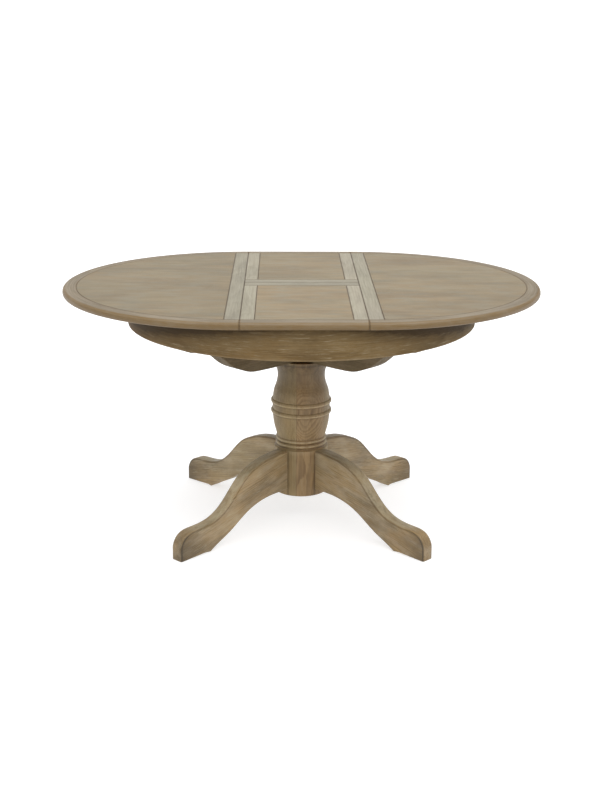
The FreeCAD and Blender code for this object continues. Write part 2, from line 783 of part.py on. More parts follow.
def make_guide(label, turn):
    """A guide: grooved on both sides for the runners' tongues, with a mortise for the pinion."""
    blank = box(f"{label}_blank", (-apron_bore, well_half, frame_bottom),
                (apron_bore * 2, size.guide_thickness, guide_top - frame_bottom))
    ring = cylinder(f"{label}_coping", (0, 0, frame_bottom), apron_bore, guide_top - frame_bottom)
    beam = common(f"{label}_beam", blank, ring)
    groove_depth = size.tongue_reach - size.runner_gap + size.tongue_clearance
    groove_foot = tongue_top - size.tongue_height - size.tongue_clearance
    groove_height = size.tongue_height + size.tongue_clearance * 2
    far_face = well_half + size.guide_thickness
    mortise_half = pitch_radius + size.gear_module + size.gear_clearance
    mortise_foot = gear_height - size.pinion_height / 2 - size.gear_clearance
    screw_bore_height = size.guide_screw_grip - size.guide_screw_shoulder
    cutters = [
        box(f"{label}_inner_groove", (-apron_bore, well_half - overrun, groove_foot),
            (apron_bore * 2, groove_depth + overrun, groove_height)),
        box(f"{label}_outer_groove", (-apron_bore, far_face - groove_depth, groove_foot),
            (apron_bore * 2, groove_depth + overrun, groove_height)),
        box(f"{label}_mortise", (-mortise_half, well_half - overrun, mortise_foot),
            (mortise_half * 2, size.guide_thickness + overrun * 2,
             size.pinion_height + size.gear_clearance * 2)),
        cylinder(f"{label}_pin_bore", (0, guide_offset, gear_height - size.gear_pin_drop),
                 size.gear_pin_radius, size.gear_pin_drop + size.gear_pin_rise),
        cylinder(f"{label}_screw_bore_right", (guide_offset, guide_offset, frame_bottom),
                 size.screw_radius, screw_bore_height),
        cylinder(f"{label}_screw_bore_left", (-guide_offset, guide_offset, frame_bottom),
                 size.screw_radius, screw_bore_height),
    ]
    return piece(label, cut(f"{label}_cut", beam, cutters), turn)


def make_gear_pins():
    """The pinions' axles, one in each guide."""
    pins = []
    for sign in (1, -1):
        start = (0, guide_offset * sign, gear_height - size.gear_pin_drop)
        pins.append(cylinder(f"gear_pin_{len(pins)}", start, size.gear_pin_radius,
                             size.gear_pin_drop + size.gear_pin_rise))
    piece("gear_pins", group("gear_pin_group", pins))


def involute_flank(radii, half_angle, sign):
    """Points of one flank of a tooth that points along X, from the base circle to the tip."""
    base = pitch_radius.value * math.cos(PRESSURE_ANGLE)
    pitch_involute = math.tan(PRESSURE_ANGLE) - PRESSURE_ANGLE
    points = []
    for radius in radii:
        pressure = math.acos(min(1.0, base / radius))
        angle = half_angle + pitch_involute - (math.tan(pressure) - pressure)
        points.append(FreeCAD.Vector(radius * math.cos(angle), sign * radius * math.sin(angle), 0))
    return points


def make_pinion(label, sign):
    """A pinion with involute teeth, free to turn on its pin."""
    body = new_body(label)
    root = pitch_radius - size.gear_module * DEDENDUM_SHARE
    disc = sketch_on(body, "XY_Plane", f"{label}_disc")
    draw_circle(disc, (0, 0), root)
    add_pad(body, disc, size.pinion_height, symmetric=True)

    base = pitch_radius.value * math.cos(PRESSURE_ANGLE)
    tip = pitch_radius.value + size.gear_module.value * ADDENDUM_SHARE
    half_angle = math.pi / (2 * PINION_TEETH) - size.gear_backlash.value / (4 * pitch_radius.value)
    radii = [base + (tip - base) * step / (FLANK_POINTS - 1) for step in range(FLANK_POINTS)]
    right = involute_flank(radii, half_angle, 1)
    left = involute_flank(radii, half_angle, -1)
    inside = root.value / base * TOOTH_FOOT_SHARE
    root_right = right[0] * inside
    root_left = left[0] * inside
    tooth = sketch_on(body, "XY_Plane", f"{label}_tooth")
    for edge in (
        line_between(root_left, left[0]),
        spline_through(left),
        line_between(left[-1], right[-1]),
        spline_through(right),
        line_between(right[0], root_right),
        line_between(root_right, root_left),
    ):
        tooth.addGeometry(edge, False)
    teeth = add_pad(body, tooth, size.pinion_height, symmetric=True)
    doc.recompute()
    add_pattern(body, teeth, PINION_TEETH)
    bore = sketch_on(body, "XY_Plane", f"{label}_bore")
    draw_circle(bore, (0, 0), size.gear_pin_radius + size.gear_pin_fit)
    add_pocket(body, bore, size.pinion_height * 2, symmetric=True)
    seat(body, (0, guide_offset * sign, gear_height))
    return piece(label, body)


def make_rack(name, guide_sign):
    """A rack for the right half: a backing bar and straight-sided teeth that point forwards."""
    body = new_body(name)
    pitch = size.gear_module * math.pi
    dedendum = size.gear_module * DEDENDUM_SHARE
    addendum = size.gear_module * ADDENDUM_SHARE
    bar = sketch_on(body, "XY_Plane", f"{name}_bar")
    left = -size.rack_travel_out
    right = size.rack_travel_in
    back = -dedendum - size.rack_back_thickness
    draw_polygon(bar, ((left, back), (right, back), (right, -dedendum), (left, -dedendum)))
    add_pad(body, bar, size.rack_height, symmetric=True)

    slope = math.tan(PRESSURE_ANGLE)
    half_pitch_line = pitch / 4 - size.gear_backlash / 4
    tip_half = half_pitch_line - addendum * slope
    root_half = half_pitch_line + dedendum * slope
    before = math.floor((size.rack_travel_out.value - pitch.value / 2) / pitch.value)
    after = math.floor((size.rack_travel_in.value - pitch.value / 2) / pitch.value)
    first = -(pitch * before)
    tooth = sketch_on(body, "XY_Plane", f"{name}_tooth")
    draw_polygon(tooth, ((first - root_half, -dedendum), (first + root_half, -dedendum),
                         (first + tip_half, addendum), (first - tip_half, addendum)))
    teeth = add_pad(body, tooth, size.rack_height, symmetric=True)
    doc.recompute()
    row = body.newObject("PartDesign::LinearPattern", f"{name}_teeth")
    row.Originals = [teeth]
    along = next(item for item in body.Origin.OriginFeatures if item.Role == "X_Axis")
    row.Direction = (along, [""])
    row.setExpression("Length", (pitch * (before + after)).formula)
    row.Occurrences = before + after + 1
    body.Tip = row
    doc.recompute()
    flip = FreeCAD.Rotation(FreeCAD.Vector(1, 0, 0), 180.0)
    body.Placement = FreeCAD.Placement(FreeCAD.Vector(), flip)
    seat(body, (0, guide_offset * guide_sign + pitch_radius, gear_height))
    return body


def runner_screw_places(guide_sign):
    """Where the screws of one runner of the right half stand."""
    side = guide_offset * guide_sign + runner_near + size.runner_thickness * RUNNER_SCREW_SHARE
    step = runner_screw_span / (RUNNER_SCREWS - 1)
    return [(runner_screw_start + step * index, side) for index in range(RUNNER_SCREWS)]


def make_runner(name, guide_sign):
    """A runner of the right half: a bar with a tongue, rebated for its rack."""
    near_face = guide_offset * guide_sign + runner_near
    left = -size.runner_inner_end
    length = size.runner_inner_end + runner_outer_end
    bar = box(f"{name}_bar", (left, near_face, runner_bottom),
              (length, size.runner_thickness, size.runner_depth))
    tongue = box(f"{name}_tongue", (left, near_face - size.tongue_reach, tongue_top - size.tongue_height),
                 (length, size.tongue_reach + size.tongue_clearance, size.tongue_height))
    rack_back = (pitch_radius + size.gear_module * DEDENDUM_SHARE + size.rack_back_thickness
                 + guide_offset * guide_sign)
    cutters = [box(f"{name}_rebate",
                   (-size.rack_travel_out, near_face - overrun, gear_height - size.rack_height / 2),
                   (size.rack_travel_out + size.rack_travel_in, rack_back - near_face + overrun,
                    size.rack_height))]
    for x, y in runner_screw_places(guide_sign):
        cutters.append(cylinder(f"{name}_bore_{len(cutters)}", (x, y, runner_bottom),
                                size.screw_radius, size.runner_depth))
        cutters.append(cylinder(f"{name}_recess_{len(cutters)}", (x, y, runner_bottom),
                                size.screw_head_radius, size.screw_head_height))
    return cut(f"{name}_cut", fuse(f"{name}_blank", [bar, tongue]), cutters)


def make_runner_screws(name):
    """The screws that hold both runners of the right half up to its underside."""
    screws = []
    for guide_sign in (1, -1):
        for x, y in runner_screw_places(guide_sign):
            head = cylinder(f"{name}_head_{len(screws)}", (x, y, runner_bottom),
                            size.screw_head_radius, size.screw_head_height)
            shank = cylinder(f"{name}_shank_{len(screws)}", (x, y, runner_bottom),
                             size.screw_radius, size.runner_depth + size.screw_grip)
            screws.append(fuse(f"{name}_{len(screws)}", [head, shank]))
    return group(f"{name}_group", screws)


def draw_ring_half(sketch, centre, outer, inner):
    """Half a ring, on the far side of the line through its centre."""
    middle = vector(centre, 0)
    arcs = []
    for radius in (outer, inner):
        circle = Part.Circle(middle, FreeCAD.Vector(0, 0, 1), radius.value)
        arc = sketch.addGeometry(Part.ArcOfCircle(circle, -math.pi / 2, math.pi / 2), False)
        pin_radius(sketch, arc, radius)
        pin_point(sketch, arc, 3, (centre, 0))
        arcs.append(arc)
    for sign, end in ((-1, 1), (1, 2)):
        straight = line_between(vector(centre, inner * sign), vector(centre, outer * sign))
        line = sketch.addGeometry(straight, False)
        sketch.addConstraint(Sketcher.Constraint("Coincident", line, 1, arcs[1], end))
        sketch.addConstraint(Sketcher.Constraint("Coincident", line, 2, arcs[0], end))
        sketch.addConstraint(Sketcher.Constraint("Vertical", line))
        index = sketch.addConstraint(Sketcher.Constraint("DistanceX", -1, 1, line, 1, middle.x))
        sketch.setExpression(f"Constraints[{index}]", as_dim(centre).formula)


def pin_radius(sketch, curve, radius):
    """Binds the radius of an arc to the sheet."""
    index = sketch.addConstraint(Sketcher.Constraint("Radius", curve, radius.value))
    sketch.setExpression(f"Constraints[{index}]", radius.formula)


def make_rim(name):
    """The curved rim of the right half: its outer edge rounded, a fine bevel at its inner joint."""
    body = new_body(name)
    sketch = sketch_on(body, "XY_Plane", f"{name}_outline", top_underside)
    draw_ring_half(sketch, seam, size.top_radius, size.top_radius - size.rim_width)
    add_pad(body, sketch, size.top_thickness)
    centre = seam.value

    def on_arc(radius, height):
        def wanted(middle, edge):
            reach = math.hypot(middle.x - centre, middle.y)
            return near(middle.z, height) and near(reach, radius) and edge.Length > radius.value
        return wanted

    add_edge_dress(body, "Fillet", size.edge_round, on_arc(size.top_radius, size.table_height))
    add_edge_dress(body, "Fillet", size.edge_under_round, on_arc(size.top_radius, top_underside))
    add_edge_dress(body, "Chamfer", size.groove_chamfer,
                   on_arc(size.top_radius - size.rim_width, size.table_height))
    return body


def slice_of_disc(name, start, end):
    """The part of the right half's inner disc between two lines, from its seam outwards."""
    radius = size.top_radius - size.rim_width
    disc = cylinder(f"{name}_disc", (seam, 0, top_underside), radius, size.top_thickness)
    block = box(f"{name}_block", (seam + start, -radius, top_underside),
                (end - start, radius * 2, size.top_thickness))
    return common(f"{name}_blank", disc, block)


def bevel_top(name, base):
    """A fine bevel round the whole top face, for the groove between neighbouring boards."""
    doc.recompute()
    bevel = doc.addObject("Part::Chamfer", name)
    bevel.Base = base
    width = size.groove_chamfer.value
    edges = []
    for index, edge in enumerate(base.Shape.Edges, start=1):
        if all(near(vertex.Z, size.table_height) for vertex in edge.Vertexes):
            edges.append((index, width, width))
    bevel.Edges = edges
    return bevel


def make_half(side, turn):
    """One half of the top with all that travels with it, built as the right half and turned."""
    stile_end = size.half_stile_width
    radius = size.top_radius - size.rim_width
    places = runner_screw_places(1) + runner_screw_places(-1)
    stile_bores = []
    field_bores = []
    stile_limit = (seam + stile_end).value
    for x, y in places:
        owner = stile_bores if x.value < stile_limit else field_bores
        owner.append(cylinder(f"{side}_bore_{len(stile_bores) + len(field_bores)}",
                              (x, y, top_underside), size.screw_radius, size.screw_grip))
    stile_board = bevel_top(f"{side}_stile_bevel", slice_of_disc(f"{side}_stile", 0, stile_end))
    field_board = bevel_top(f"{side}_field_bevel", slice_of_disc(f"{side}_field", stile_end, radius))
    stile = cut(f"{side}_stile_cut", stile_board, stile_bores)
    field = cut(f"{side}_field_cut", field_board, field_bores)
    piece(f"{side}_rim", make_rim(f"{side}_rim_board"), turn)
    piece(f"{side}_stile", stile, turn)
    piece(f"{side}_field", field, turn)
    front, rear = (-1, 1) if turn == 0 else (1, -1)
    piece(f"{side}_runner_front", make_runner(f"{side}_runner_front_bar", front), turn)
    piece(f"{side}_runner_rear", make_runner(f"{side}_runner_rear_bar", rear), turn)
    racks = [make_rack(f"{side}_rack_{sign + 1}", sign) for sign in (1, -1)]
    piece(f"{side}_racks", group(f"{side}_rack_group", racks), turn)
    piece(f"{side}_runner_screws", make_runner_screws(f"{side}_runner_screw"), turn)
    piece(f"{side}_lock_plates", make_lock_plates(f"{side}_lock"), turn)


def make_lock_plates(name):
    """Each lock's plate, with the headed pin that its lever turns on."""
    plates = []
    plate_foot = top_underside - size.lock_plate_thickness
    centre_x = seam + size.lock_setback
    pin_foot = plate_foot - size.lock_pin_drop
    for sign in (1, -1):
        centre_y = lock_offset * sign
        plates.append(fuse(f"{name}_{sign + 1}", [
            box(f"{name}_plate_{sign + 1}",
                (centre_x - size.lock_plate_length / 2, centre_y - size.lock_plate_width / 2, plate_foot),
                (size.lock_plate_length, size.lock_plate_width, size.lock_plate_thickness)),
            cylinder(f"{name}_pin_{sign + 1}", (centre_x, centre_y, pin_foot),
                     size.lock_pin_radius, size.lock_pin_drop),
            cylinder(f"{name}_head_{sign + 1}", (centre_x, centre_y, lever_foot() - size.lever_gap
                     - size.lock_pin_head_height), size.lock_pin_head_radius, size.lock_pin_head_height),
        ]))
    return group(f"{name}_plates", plates)


def lever_foot():
    """The height of a lever's underside."""
    return top_underside - size.lock_plate_thickness - size.lever_gap - size.lever_thickness


def make_lever(label, side_sign, row_sign):
    """A lock's lever, parked along Y, with a notch that swings round the striker's pin."""
    half = size.lever_width / 2
    notch_half = size.lock_pin_radius + size.lever_notch_clearance
    notch_depth = size.lever_width * LEVER_NOTCH_SHARE
    name = f"{label}_blank"
    foot = lever_foot()
    pivot_x = (seam + size.lock_setback) * side_sign
    pivot_y = lock_offset * row_sign
    towards = -row_sign
    lead = -side_sign
    tail = pivot_y - half * towards
    tip = pivot_y + (size.lever_reach + size.lever_nose) * towards
    low_y, high_y = (tail, tip) if towards > 0 else (tip, tail)
    arm = box(f"{name}_arm", (pivot_x - half, low_y, foot),
              (size.lever_width, high_y - low_y, size.lever_thickness))
    tab_middle = pivot_y + size.lever_reach / 2 * towards
    tab = box(f"{name}_tab", (pivot_x - size.lever_tab_width / 2, tab_middle - size.lever_tab_length / 2,
                              foot - size.lever_tab_drop),
              (size.lever_tab_width, size.lever_tab_length, size.lever_tab_drop + size.lever_gap))
    notch_y = pivot_y + size.lever_reach * towards
    notch_x = pivot_x + half - notch_depth if lead > 0 else pivot_x - half - overrun
    notch = box(f"{name}_notch", (notch_x, notch_y - notch_half, foot - overrun),
                (notch_depth + overrun, notch_half * 2, size.lever_thickness + overrun * 2))
    bore = cylinder(f"{name}_bore", (pivot_x, pivot_y, foot - overrun),
                    size.lock_pin_radius + size.lock_pin_fit, size.lever_thickness + overrun * 2)
    return piece(label, cut(f"{name}_cut", fuse(f"{name}_whole", [arm, tab]), [notch, bore]))


def make_leaf_strikers(name):
    """The pins under the rear half of the leaf that the levers hook."""
    strikers = []
    foot = top_underside - size.lock_plate_thickness
    for sign in (1, -1):
        x = (seam + size.lock_setback - size.lever_reach) * sign
        strikers.append(fuse(f"{name}_{sign + 1}", [
            box(f"{name}_plate_{sign + 1}",
                (x - size.lock_plate_width / 2, lock_offset - size.lock_plate_length / 2, foot),
                (size.lock_plate_width, size.lock_plate_length, size.lock_plate_thickness)),
            cylinder(f"{name}_pin_{sign + 1}", (x, lock_offset, foot - size.lock_pin_drop),
                     size.lock_pin_radius, size.lock_pin_drop),
        ]))
    return group(f"{name}_group", strikers)


def board(name, low, high):
    """A flat board of the top between two corners, with a fine bevel round its top face."""
    blank = box(f"{name}_blank", (low[0], low[1], top_underside),
                (high[0] - low[0], high[1] - low[1], size.top_thickness))
    return bevel_top(f"{name}_bevel", blank)


def make_outer_rail(name, low, high):
    """The leaf's outer rail: the same rounded edge as the rims, with a bevel at its inner joint."""
    body = new_body(name)
    sketch = sketch_on(body, "XY_Plane", f"{name}_outline", top_underside)
    draw_polygon(sketch, ((low[0], low[1]), (high[0], low[1]), (high[0], high[1]), (low[0], high[1])))
    add_pad(body, sketch, size.top_thickness)

    def along_edge(across, height):
        def wanted(middle, edge):
            return near(middle.z, height) and near(middle.y, across)
        return wanted

    add_edge_dress(body, "Fillet", size.edge_round, along_edge(high[1], size.table_height))
    add_edge_dress(body, "Fillet", size.edge_under_round, along_edge(high[1], top_underside))
    add_edge_dress(body, "Chamfer", size.groove_chamfer, along_edge(low[1], size.table_height))
    return body


def make_leaf_half(part, turn):
    """One half of the leaf, built as the rear half and turned: rails, stiles, field and fittings."""
    edge_x = seam - size.seam_gap
    stile_x = edge_x - size.leaf_stile_width
    fold_y = size.fold_gap / 2
    mid_y = size.mid_rail_width
    outer_y = size.top_radius - size.rim_width
    name = f"leaf_{part}"
    cup_height = size.table_height - size.top_thickness / 2
    axis_height = size.table_height + size.hinge_axis_rise
    link_top = size.table_height - size.hinge_slot_top - size.hinge_axis_rise
    cups = []
    bores = []
    links = []
    for place in HINGE_PLACES:
        mark = f"{name}_hinge_{len(cups)}"
        x = size.hinge_offset * place
        cup = cylinder(f"{mark}_cup_blank", (x, fold_y, cup_height), size.hinge_cup_radius,
                       size.hinge_cup_depth, along="Y")
        bores.append(cylinder(f"{mark}_bore", (x, fold_y, cup_height), size.hinge_cup_radius,
                              size.hinge_cup_depth, along="Y"))
        link = box(f"{mark}_link", (x - size.hinge_link_thickness / 2, -size.hinge_link_reach,
                                    link_top - size.hinge_link_height),
                   (size.hinge_link_thickness, size.hinge_link_reach * 2, size.hinge_link_height))
        slot = box(f"{mark}_slot", (x - size.hinge_slot_width / 2, -overrun,
                                    axis_height - size.hinge_slot_bottom),
                   (size.hinge_slot_width, size.hinge_slot_depth + overrun,
                    size.hinge_slot_bottom - size.hinge_slot_top))
        cups.append(cut(f"{mark}_cup", cup, [link if part == "rear" else slot]))
        links.append(link)
    mid_rail = board(f"{name}_mid_rail_board", (-edge_x, fold_y), (edge_x, mid_y))
    piece(f"{name}_mid_rail", cut(f"{name}_mid_rail_cut", mid_rail, bores), turn)
    piece(f"{name}_outer_rail",
          make_outer_rail(f"{name}_outer_rail_board", (-edge_x, outer_y), (edge_x, size.top_radius)), turn)
    stiles = [board(f"{name}_stile_left", (-edge_x, mid_y), (-stile_x, outer_y)),
              board(f"{name}_stile_right", (stile_x, mid_y), (edge_x, outer_y))]
    piece(f"{name}_stiles", group(f"{name}_stile_pair", stiles), turn)
    piece(f"{name}_field", board(f"{name}_field_board", (-stile_x, mid_y), (stile_x, outer_y)), turn)
    piece(f"{name}_hinge_cups", group(f"{name}_cup_group", cups), turn)
    piece(f"{name}_strikers", make_leaf_strikers(f"{name}_striker"), turn)
    if part == "rear":
        piece("leaf_hinge_links", group("leaf_hinge_link_group", links))


def make_apron(label, turn, glide_turns):
    """Half of the round apron, bored on its upper edge for the glides that the top slides on."""
    body = new_body(f"{label}_wall")
    sketch = sketch_on(body, "XY_Plane", f"{label}_outline", frame_bottom)
    draw_ring_half(sketch, 0, apron_radius, apron_bore)
    add_pad(body, sketch, size.apron_depth)

    def outer_foot(middle, edge):
        reach = math.hypot(middle.x, middle.y)
        return near(middle.z, frame_bottom) and near(reach, apron_radius)

    add_edge_dress(body, "Fillet", size.apron_ease, outer_foot)
    body.Placement = FreeCAD.Placement(FreeCAD.Vector(), turn_about_z(turn))
    glides = [make_glide(f"{label}_socket_{turn:.0f}", turn) for turn in glide_turns]
    return piece(label, cut(f"{label}_cut", body, glides))


def make_glide(name, turn):
    """A glide let into the apron's upper edge, standing just proud of it."""
    reach = apron_radius - size.apron_thickness / 2
    angle = math.radians(turn)
    return cylinder(name, (reach * math.cos(angle), reach * math.sin(angle), apron_top - size.glide_depth),
                    size.glide_radius, size.glide_depth + size.top_running_gap - size.seat_gap)


def make_blocks():
    """Glue blocks inside the apron: two over its joints, four where the guides meet it."""
    blocks = []
    corner_start = (apron_bore * apron_bore - well_half * well_half).root() - size.block_width
    guide_face = well_half + size.guide_thickness
    places = []
    for sign in (1, -1):
        inner = apron_bore - size.block_reach if sign > 0 else -apron_bore
        places.append(((inner, -size.block_width / 2), (size.block_reach, size.block_width)))
        for side in (1, -1):
            x = corner_start if side > 0 else -apron_bore
            y = guide_face if sign > 0 else -guide_face - size.block_width
            places.append(((x, y), (apron_bore - corner_start, size.block_width)))
    for (x, y), (length, width) in places:
        mark = f"block_{len(blocks)}"
        blank = box(f"{mark}_blank", (x, y, frame_bottom), (length, width, size.block_height))
        coping = cylinder(f"{mark}_coping", (0, 0, frame_bottom), apron_bore, size.block_height)
        blocks.append(common(mark, blank, coping))
    piece("apron_blocks", group("block_group", blocks))


def make_well():
    """The cross rails between the guides, and the floor on which the folded leaf lies."""
    rail_start = size.cross_rail_offset - size.cross_rail_thickness / 2
    for side, x in (("right", rail_start), ("left", -rail_start - size.cross_rail_thickness)):
        piece(f"cross_rail_{side}", box(f"cross_rail_{side}_bar", (x, -well_half, frame_bottom),
              (size.cross_rail_thickness, well_half * 2, size.cross_rail_height)))
    piece("store_floor", box("store_floor_panel", (-rail_start, -well_half, frame_bottom),
          (rail_start * 2, well_half * 2, size.floor_thickness)))


def check_document():
    """Stops on any failed object or broken piece."""
    doc.recompute()
    for item in doc.Objects:
        if "Invalid" in item.State or "Error" in item.State:
            raise RuntimeError(f"{item.Label} failed: {item.State}")
    for label, item in pieces.items():
        if item.Shape.isNull() or not item.Shape.isValid() or not item.Shape.Solids:
            raise RuntimeError(f"{label} is not a sound solid")


def write_parts():
    """One STEP file for each piece."""
    os.makedirs("parts", exist_ok=True)
    for label, item in pieces.items():
        item.Shape.exportStep(os.path.join("parts", f"{label}.step"))
        box_of = item.Shape.BoundBox
        print(f"{label:26s} solids {len(item.Shape.Solids):3d}  volume {item.Shape.Volume:12.1f}  "
              f"z {box_of.ZMin:7.1f} to {box_of.ZMax:7.1f}")


make_column()
for leg_label, leg_turn in LEG_TURNS.items():
    make_leg(leg_label, leg_turn)
make_leg_fixings()
make_bearer("bearer_lower", FIRST_LEG_ANGLE, notch_above=True)
make_bearer("bearer_upper", FIRST_LEG_ANGLE + LEG_ANGLE_STEP, notch_above=False)
make_frame_fixings()
make_guide("guide_rear", 0.0)
make_guide("guide_front", 180.0)
make_gear_pins()
make_pinion("pinion_rear", 1)
make_pinion("pinion_front", -1)
make_well()
make_apron("apron_rear", 90.0, [turn for turn in APRON_GLIDE_TURNS if turn < 180.0])
make_apron("apron_front", 270.0, [turn for turn in APRON_GLIDE_TURNS if turn > 180.0])
apron_glides = [make_glide(f"glide_{turn:.0f}", turn) for turn in APRON_GLIDE_TURNS]
piece("apron_glides", group("glide_group", apron_glides))
make_blocks()
make_half("right", 0.0)
make_half("left", 180.0)
for lever_side, side_sign in (("right", 1), ("left", -1)):
    for lever_row, row_sign in (("rear", 1), ("front", -1)):
        make_lever(f"lock_lever_{lever_row}_{lever_side}", side_sign, row_sign)
make_leaf_half("rear", 0.0)
make_leaf_half("front", 180.0)
check_document()
write_parts()
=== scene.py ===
import json
import logging
import math
from dataclasses import dataclass, field
from enum import Enum
from typing import Callable, Optional, Sequence

import bpy
import numpy as np
from mathutils import Matrix, Vector


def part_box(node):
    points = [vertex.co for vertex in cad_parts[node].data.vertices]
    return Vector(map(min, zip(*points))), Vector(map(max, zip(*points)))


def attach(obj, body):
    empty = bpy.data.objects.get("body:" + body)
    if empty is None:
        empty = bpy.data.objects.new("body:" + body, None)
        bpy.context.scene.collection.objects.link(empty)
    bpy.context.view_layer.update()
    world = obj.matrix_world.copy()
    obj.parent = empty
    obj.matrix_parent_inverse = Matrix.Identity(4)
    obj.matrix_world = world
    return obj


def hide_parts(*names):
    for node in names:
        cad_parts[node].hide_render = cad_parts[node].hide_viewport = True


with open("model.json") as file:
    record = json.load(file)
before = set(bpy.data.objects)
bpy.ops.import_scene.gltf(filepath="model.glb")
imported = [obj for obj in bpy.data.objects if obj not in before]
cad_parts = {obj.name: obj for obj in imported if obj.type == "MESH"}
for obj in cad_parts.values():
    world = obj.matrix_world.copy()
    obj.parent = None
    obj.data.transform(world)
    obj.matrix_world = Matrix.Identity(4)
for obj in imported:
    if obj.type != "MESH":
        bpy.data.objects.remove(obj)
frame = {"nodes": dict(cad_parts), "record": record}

log = logging.getLogger("table")

Array = np.ndarray
Colour = tuple[float, float, float]
Socket = bpy.types.NodeSocket
Pattern = Callable[[Array, Array], Array]

MM = 0.001

# A glued-up piece's first plank starts well before the piece does.
FROM_EDGE = -9.0

# An end face has a band at this share of the way out, and no wear or painted light stronger than this.
CAP_SHARE = 0.97
CALM_WEAR_AND_LIGHT = 0.9

# The rings behind a swept piece's end arris, and the stain of the four rings at its end.
END_RINGS = (2.2 * MM, 4.0 * MM)
END_STAIN = (1.0, 1.0, 0.8, 0.0)

# The colour sockets of Blender's Mix node.
MIX_SHARE, MIX_FIRST, MIX_SECOND, MIX_RESULT = 0, 6, 7, 2


# Shapes

def smooth_through(points: Array, count: int, start_along: Optional[Sequence[float]] = None,
                   end_along: Optional[Sequence[float]] = None) -> Array:
    """A cubic spline through points.

    Between two points the curve is a cubic in the chord length. Its second derivatives M at the points
    solve h[i-1] M[i-1] + 2 (h[i-1] + h[i]) M[i] + h[i] M[i+1] = 6 (slope[i] - slope[i-1]). At an end
    with a direction d, 2 M[0] + M[1] = 6 (slope[0] - d) / h[0], and likewise at the last one; at an end
    without one, M is zero.

    Args:
        points: The points, one to a row.
        count: How many points the result has, evenly spaced in chord length.
        start_along: The direction at the first point.
        end_along: The direction at the last point.

    Returns:
        The curve's points, one to a row.
    """
    steps = np.linalg.norm(np.diff(points, axis=0), axis=1)
    knots = np.concatenate([[0.0], np.cumsum(steps)])
    last = len(points) - 1
    inner = np.arange(1, last)
    system = np.eye(last + 1)
    system[inner, inner - 1] = steps[:-1]
    system[inner, inner] = 2.0 * (steps[:-1] + steps[1:])
    system[inner, inner + 1] = steps[1:]
    slopes = np.diff(points, axis=0) / steps[:, None]
    right = np.zeros_like(points)
    right[1:-1] = 6.0 * np.diff(slopes, axis=0)
    if start_along is not None:
        system[0, :2] = (2.0, 1.0)
        right[0] = 6.0 * (slopes[0] - np.array(start_along) / np.linalg.norm(start_along)) / steps[0]
    if end_along is not None:
        system[-1, -2:] = (1.0, 2.0)
        right[-1] = 6.0 * (np.array(end_along) / np.linalg.norm(end_along) - slopes[-1]) / steps[-1]
    bend = np.linalg.solve(system, right)
    at = np.linspace(0.0, knots[-1], count)
    here = np.clip(np.searchsorted(knots, at, side="right") - 1, 0, last - 1)
    span = steps[here][:, None]
    before = (at - knots[here])[:, None]
    after = (knots[here + 1] - at)[:, None]
    cubic = (bend[here] * after ** 3 + bend[here + 1] * before ** 3) / (6.0 * span)
    start = (points[here] / span - bend[here] * span / 6.0) * after
    end = (points[here + 1] / span - bend[here + 1] * span / 6.0) * before
    return cubic + start + end


def even_steps(points: Array, count: int, shares: Optional[Array] = None) -> Array:
    """Points at even steps, or at given shares, of a broken line's length.

    Args:
        points: The line's points, one to a row.
        count: How many points the result has.
        shares: Shares of the length, from 0 to 1, in place of even steps.

    Returns:
        The new points, one to a row.
    """
    steps = np.linalg.norm(np.diff(points, axis=0), axis=1)
    along = np.concatenate([[0.0], np.cumsum(steps)])
    wanted = (np.linspace(0.0, 1.0, count) if shares is None else shares) * along[-1]
    return np.stack([np.interp(wanted, along, points[:, axis]) for axis in range(points.shape[1])], axis=1)


def arc_points(centre: Sequence[float], radius: float, start: float, end: float, count: int) -> Array:
    """A circle's arc in a plane: centre plus radius times (cos a, sin a), at even angles a in degrees."""
    angles = np.radians(np.linspace(start, end, count))
    return np.stack([centre[0] + radius * np.cos(angles), centre[1] + radius * np.sin(angles)], axis=1)


def quarter_round(radius: float, count: int) -> tuple[Array, Array]:
    """A rounded arris as r (1 - sin a) and r (1 - cos a), with a in even steps from 0 to a quarter turn."""
    turns = np.radians(np.linspace(0.0, 90.0, count))
    return radius * (1.0 - np.sin(turns)), radius * (1.0 - np.cos(turns))


def left_normals(points: Array) -> Array:
    """Unit normals to the left of a line of points: its direction (x, y) turned to (-y, x).

    Args:
        points: The line's points, one to a row.

    Returns:
        The normals, one to a row.
    """
    ahead = np.gradient(points, axis=0)
    ahead /= np.linalg.norm(ahead, axis=1, keepdims=True)
    return np.stack([-ahead[:, 1], ahead[:, 0]], axis=1)


def bell(place: Array, middle: float, width: float) -> Array:
    """A bell exp(-((place - middle) / width)^2)."""
    return np.exp(-((place - middle) / width) ** 2)


def soft_step(place: Array, middle: float, width: float) -> Array:
    """A step 1 / (1 + exp((place - middle) / width)), from 1 below its middle to 0 above."""
    return 1.0 / (1.0 + np.exp((place - middle) / width))


def outline_mitres(outline: Array) -> Array:
    """How each corner of a closed outline moves when all its edges move inwards by one unit.

    With unit inward normals a and b of the two edges at a corner, the corner moves by
    (a + b) / (1 + a . b).

    Args:
        outline: The outline's points, anticlockwise, one to a row.

    Returns:
        The move of each point, one to a row.
    """
    edges = np.roll(outline, -1, axis=0) - outline
    edges = edges / np.maximum(np.linalg.norm(edges, axis=1, keepdims=True), 1e-12)
    inwards = np.stack([-edges[:, 1], edges[:, 0]], axis=1)
    before = np.roll(inwards, 1, axis=0)
    return (before + inwards) / (1.0 + np.sum(before * inwards, axis=1, keepdims=True))


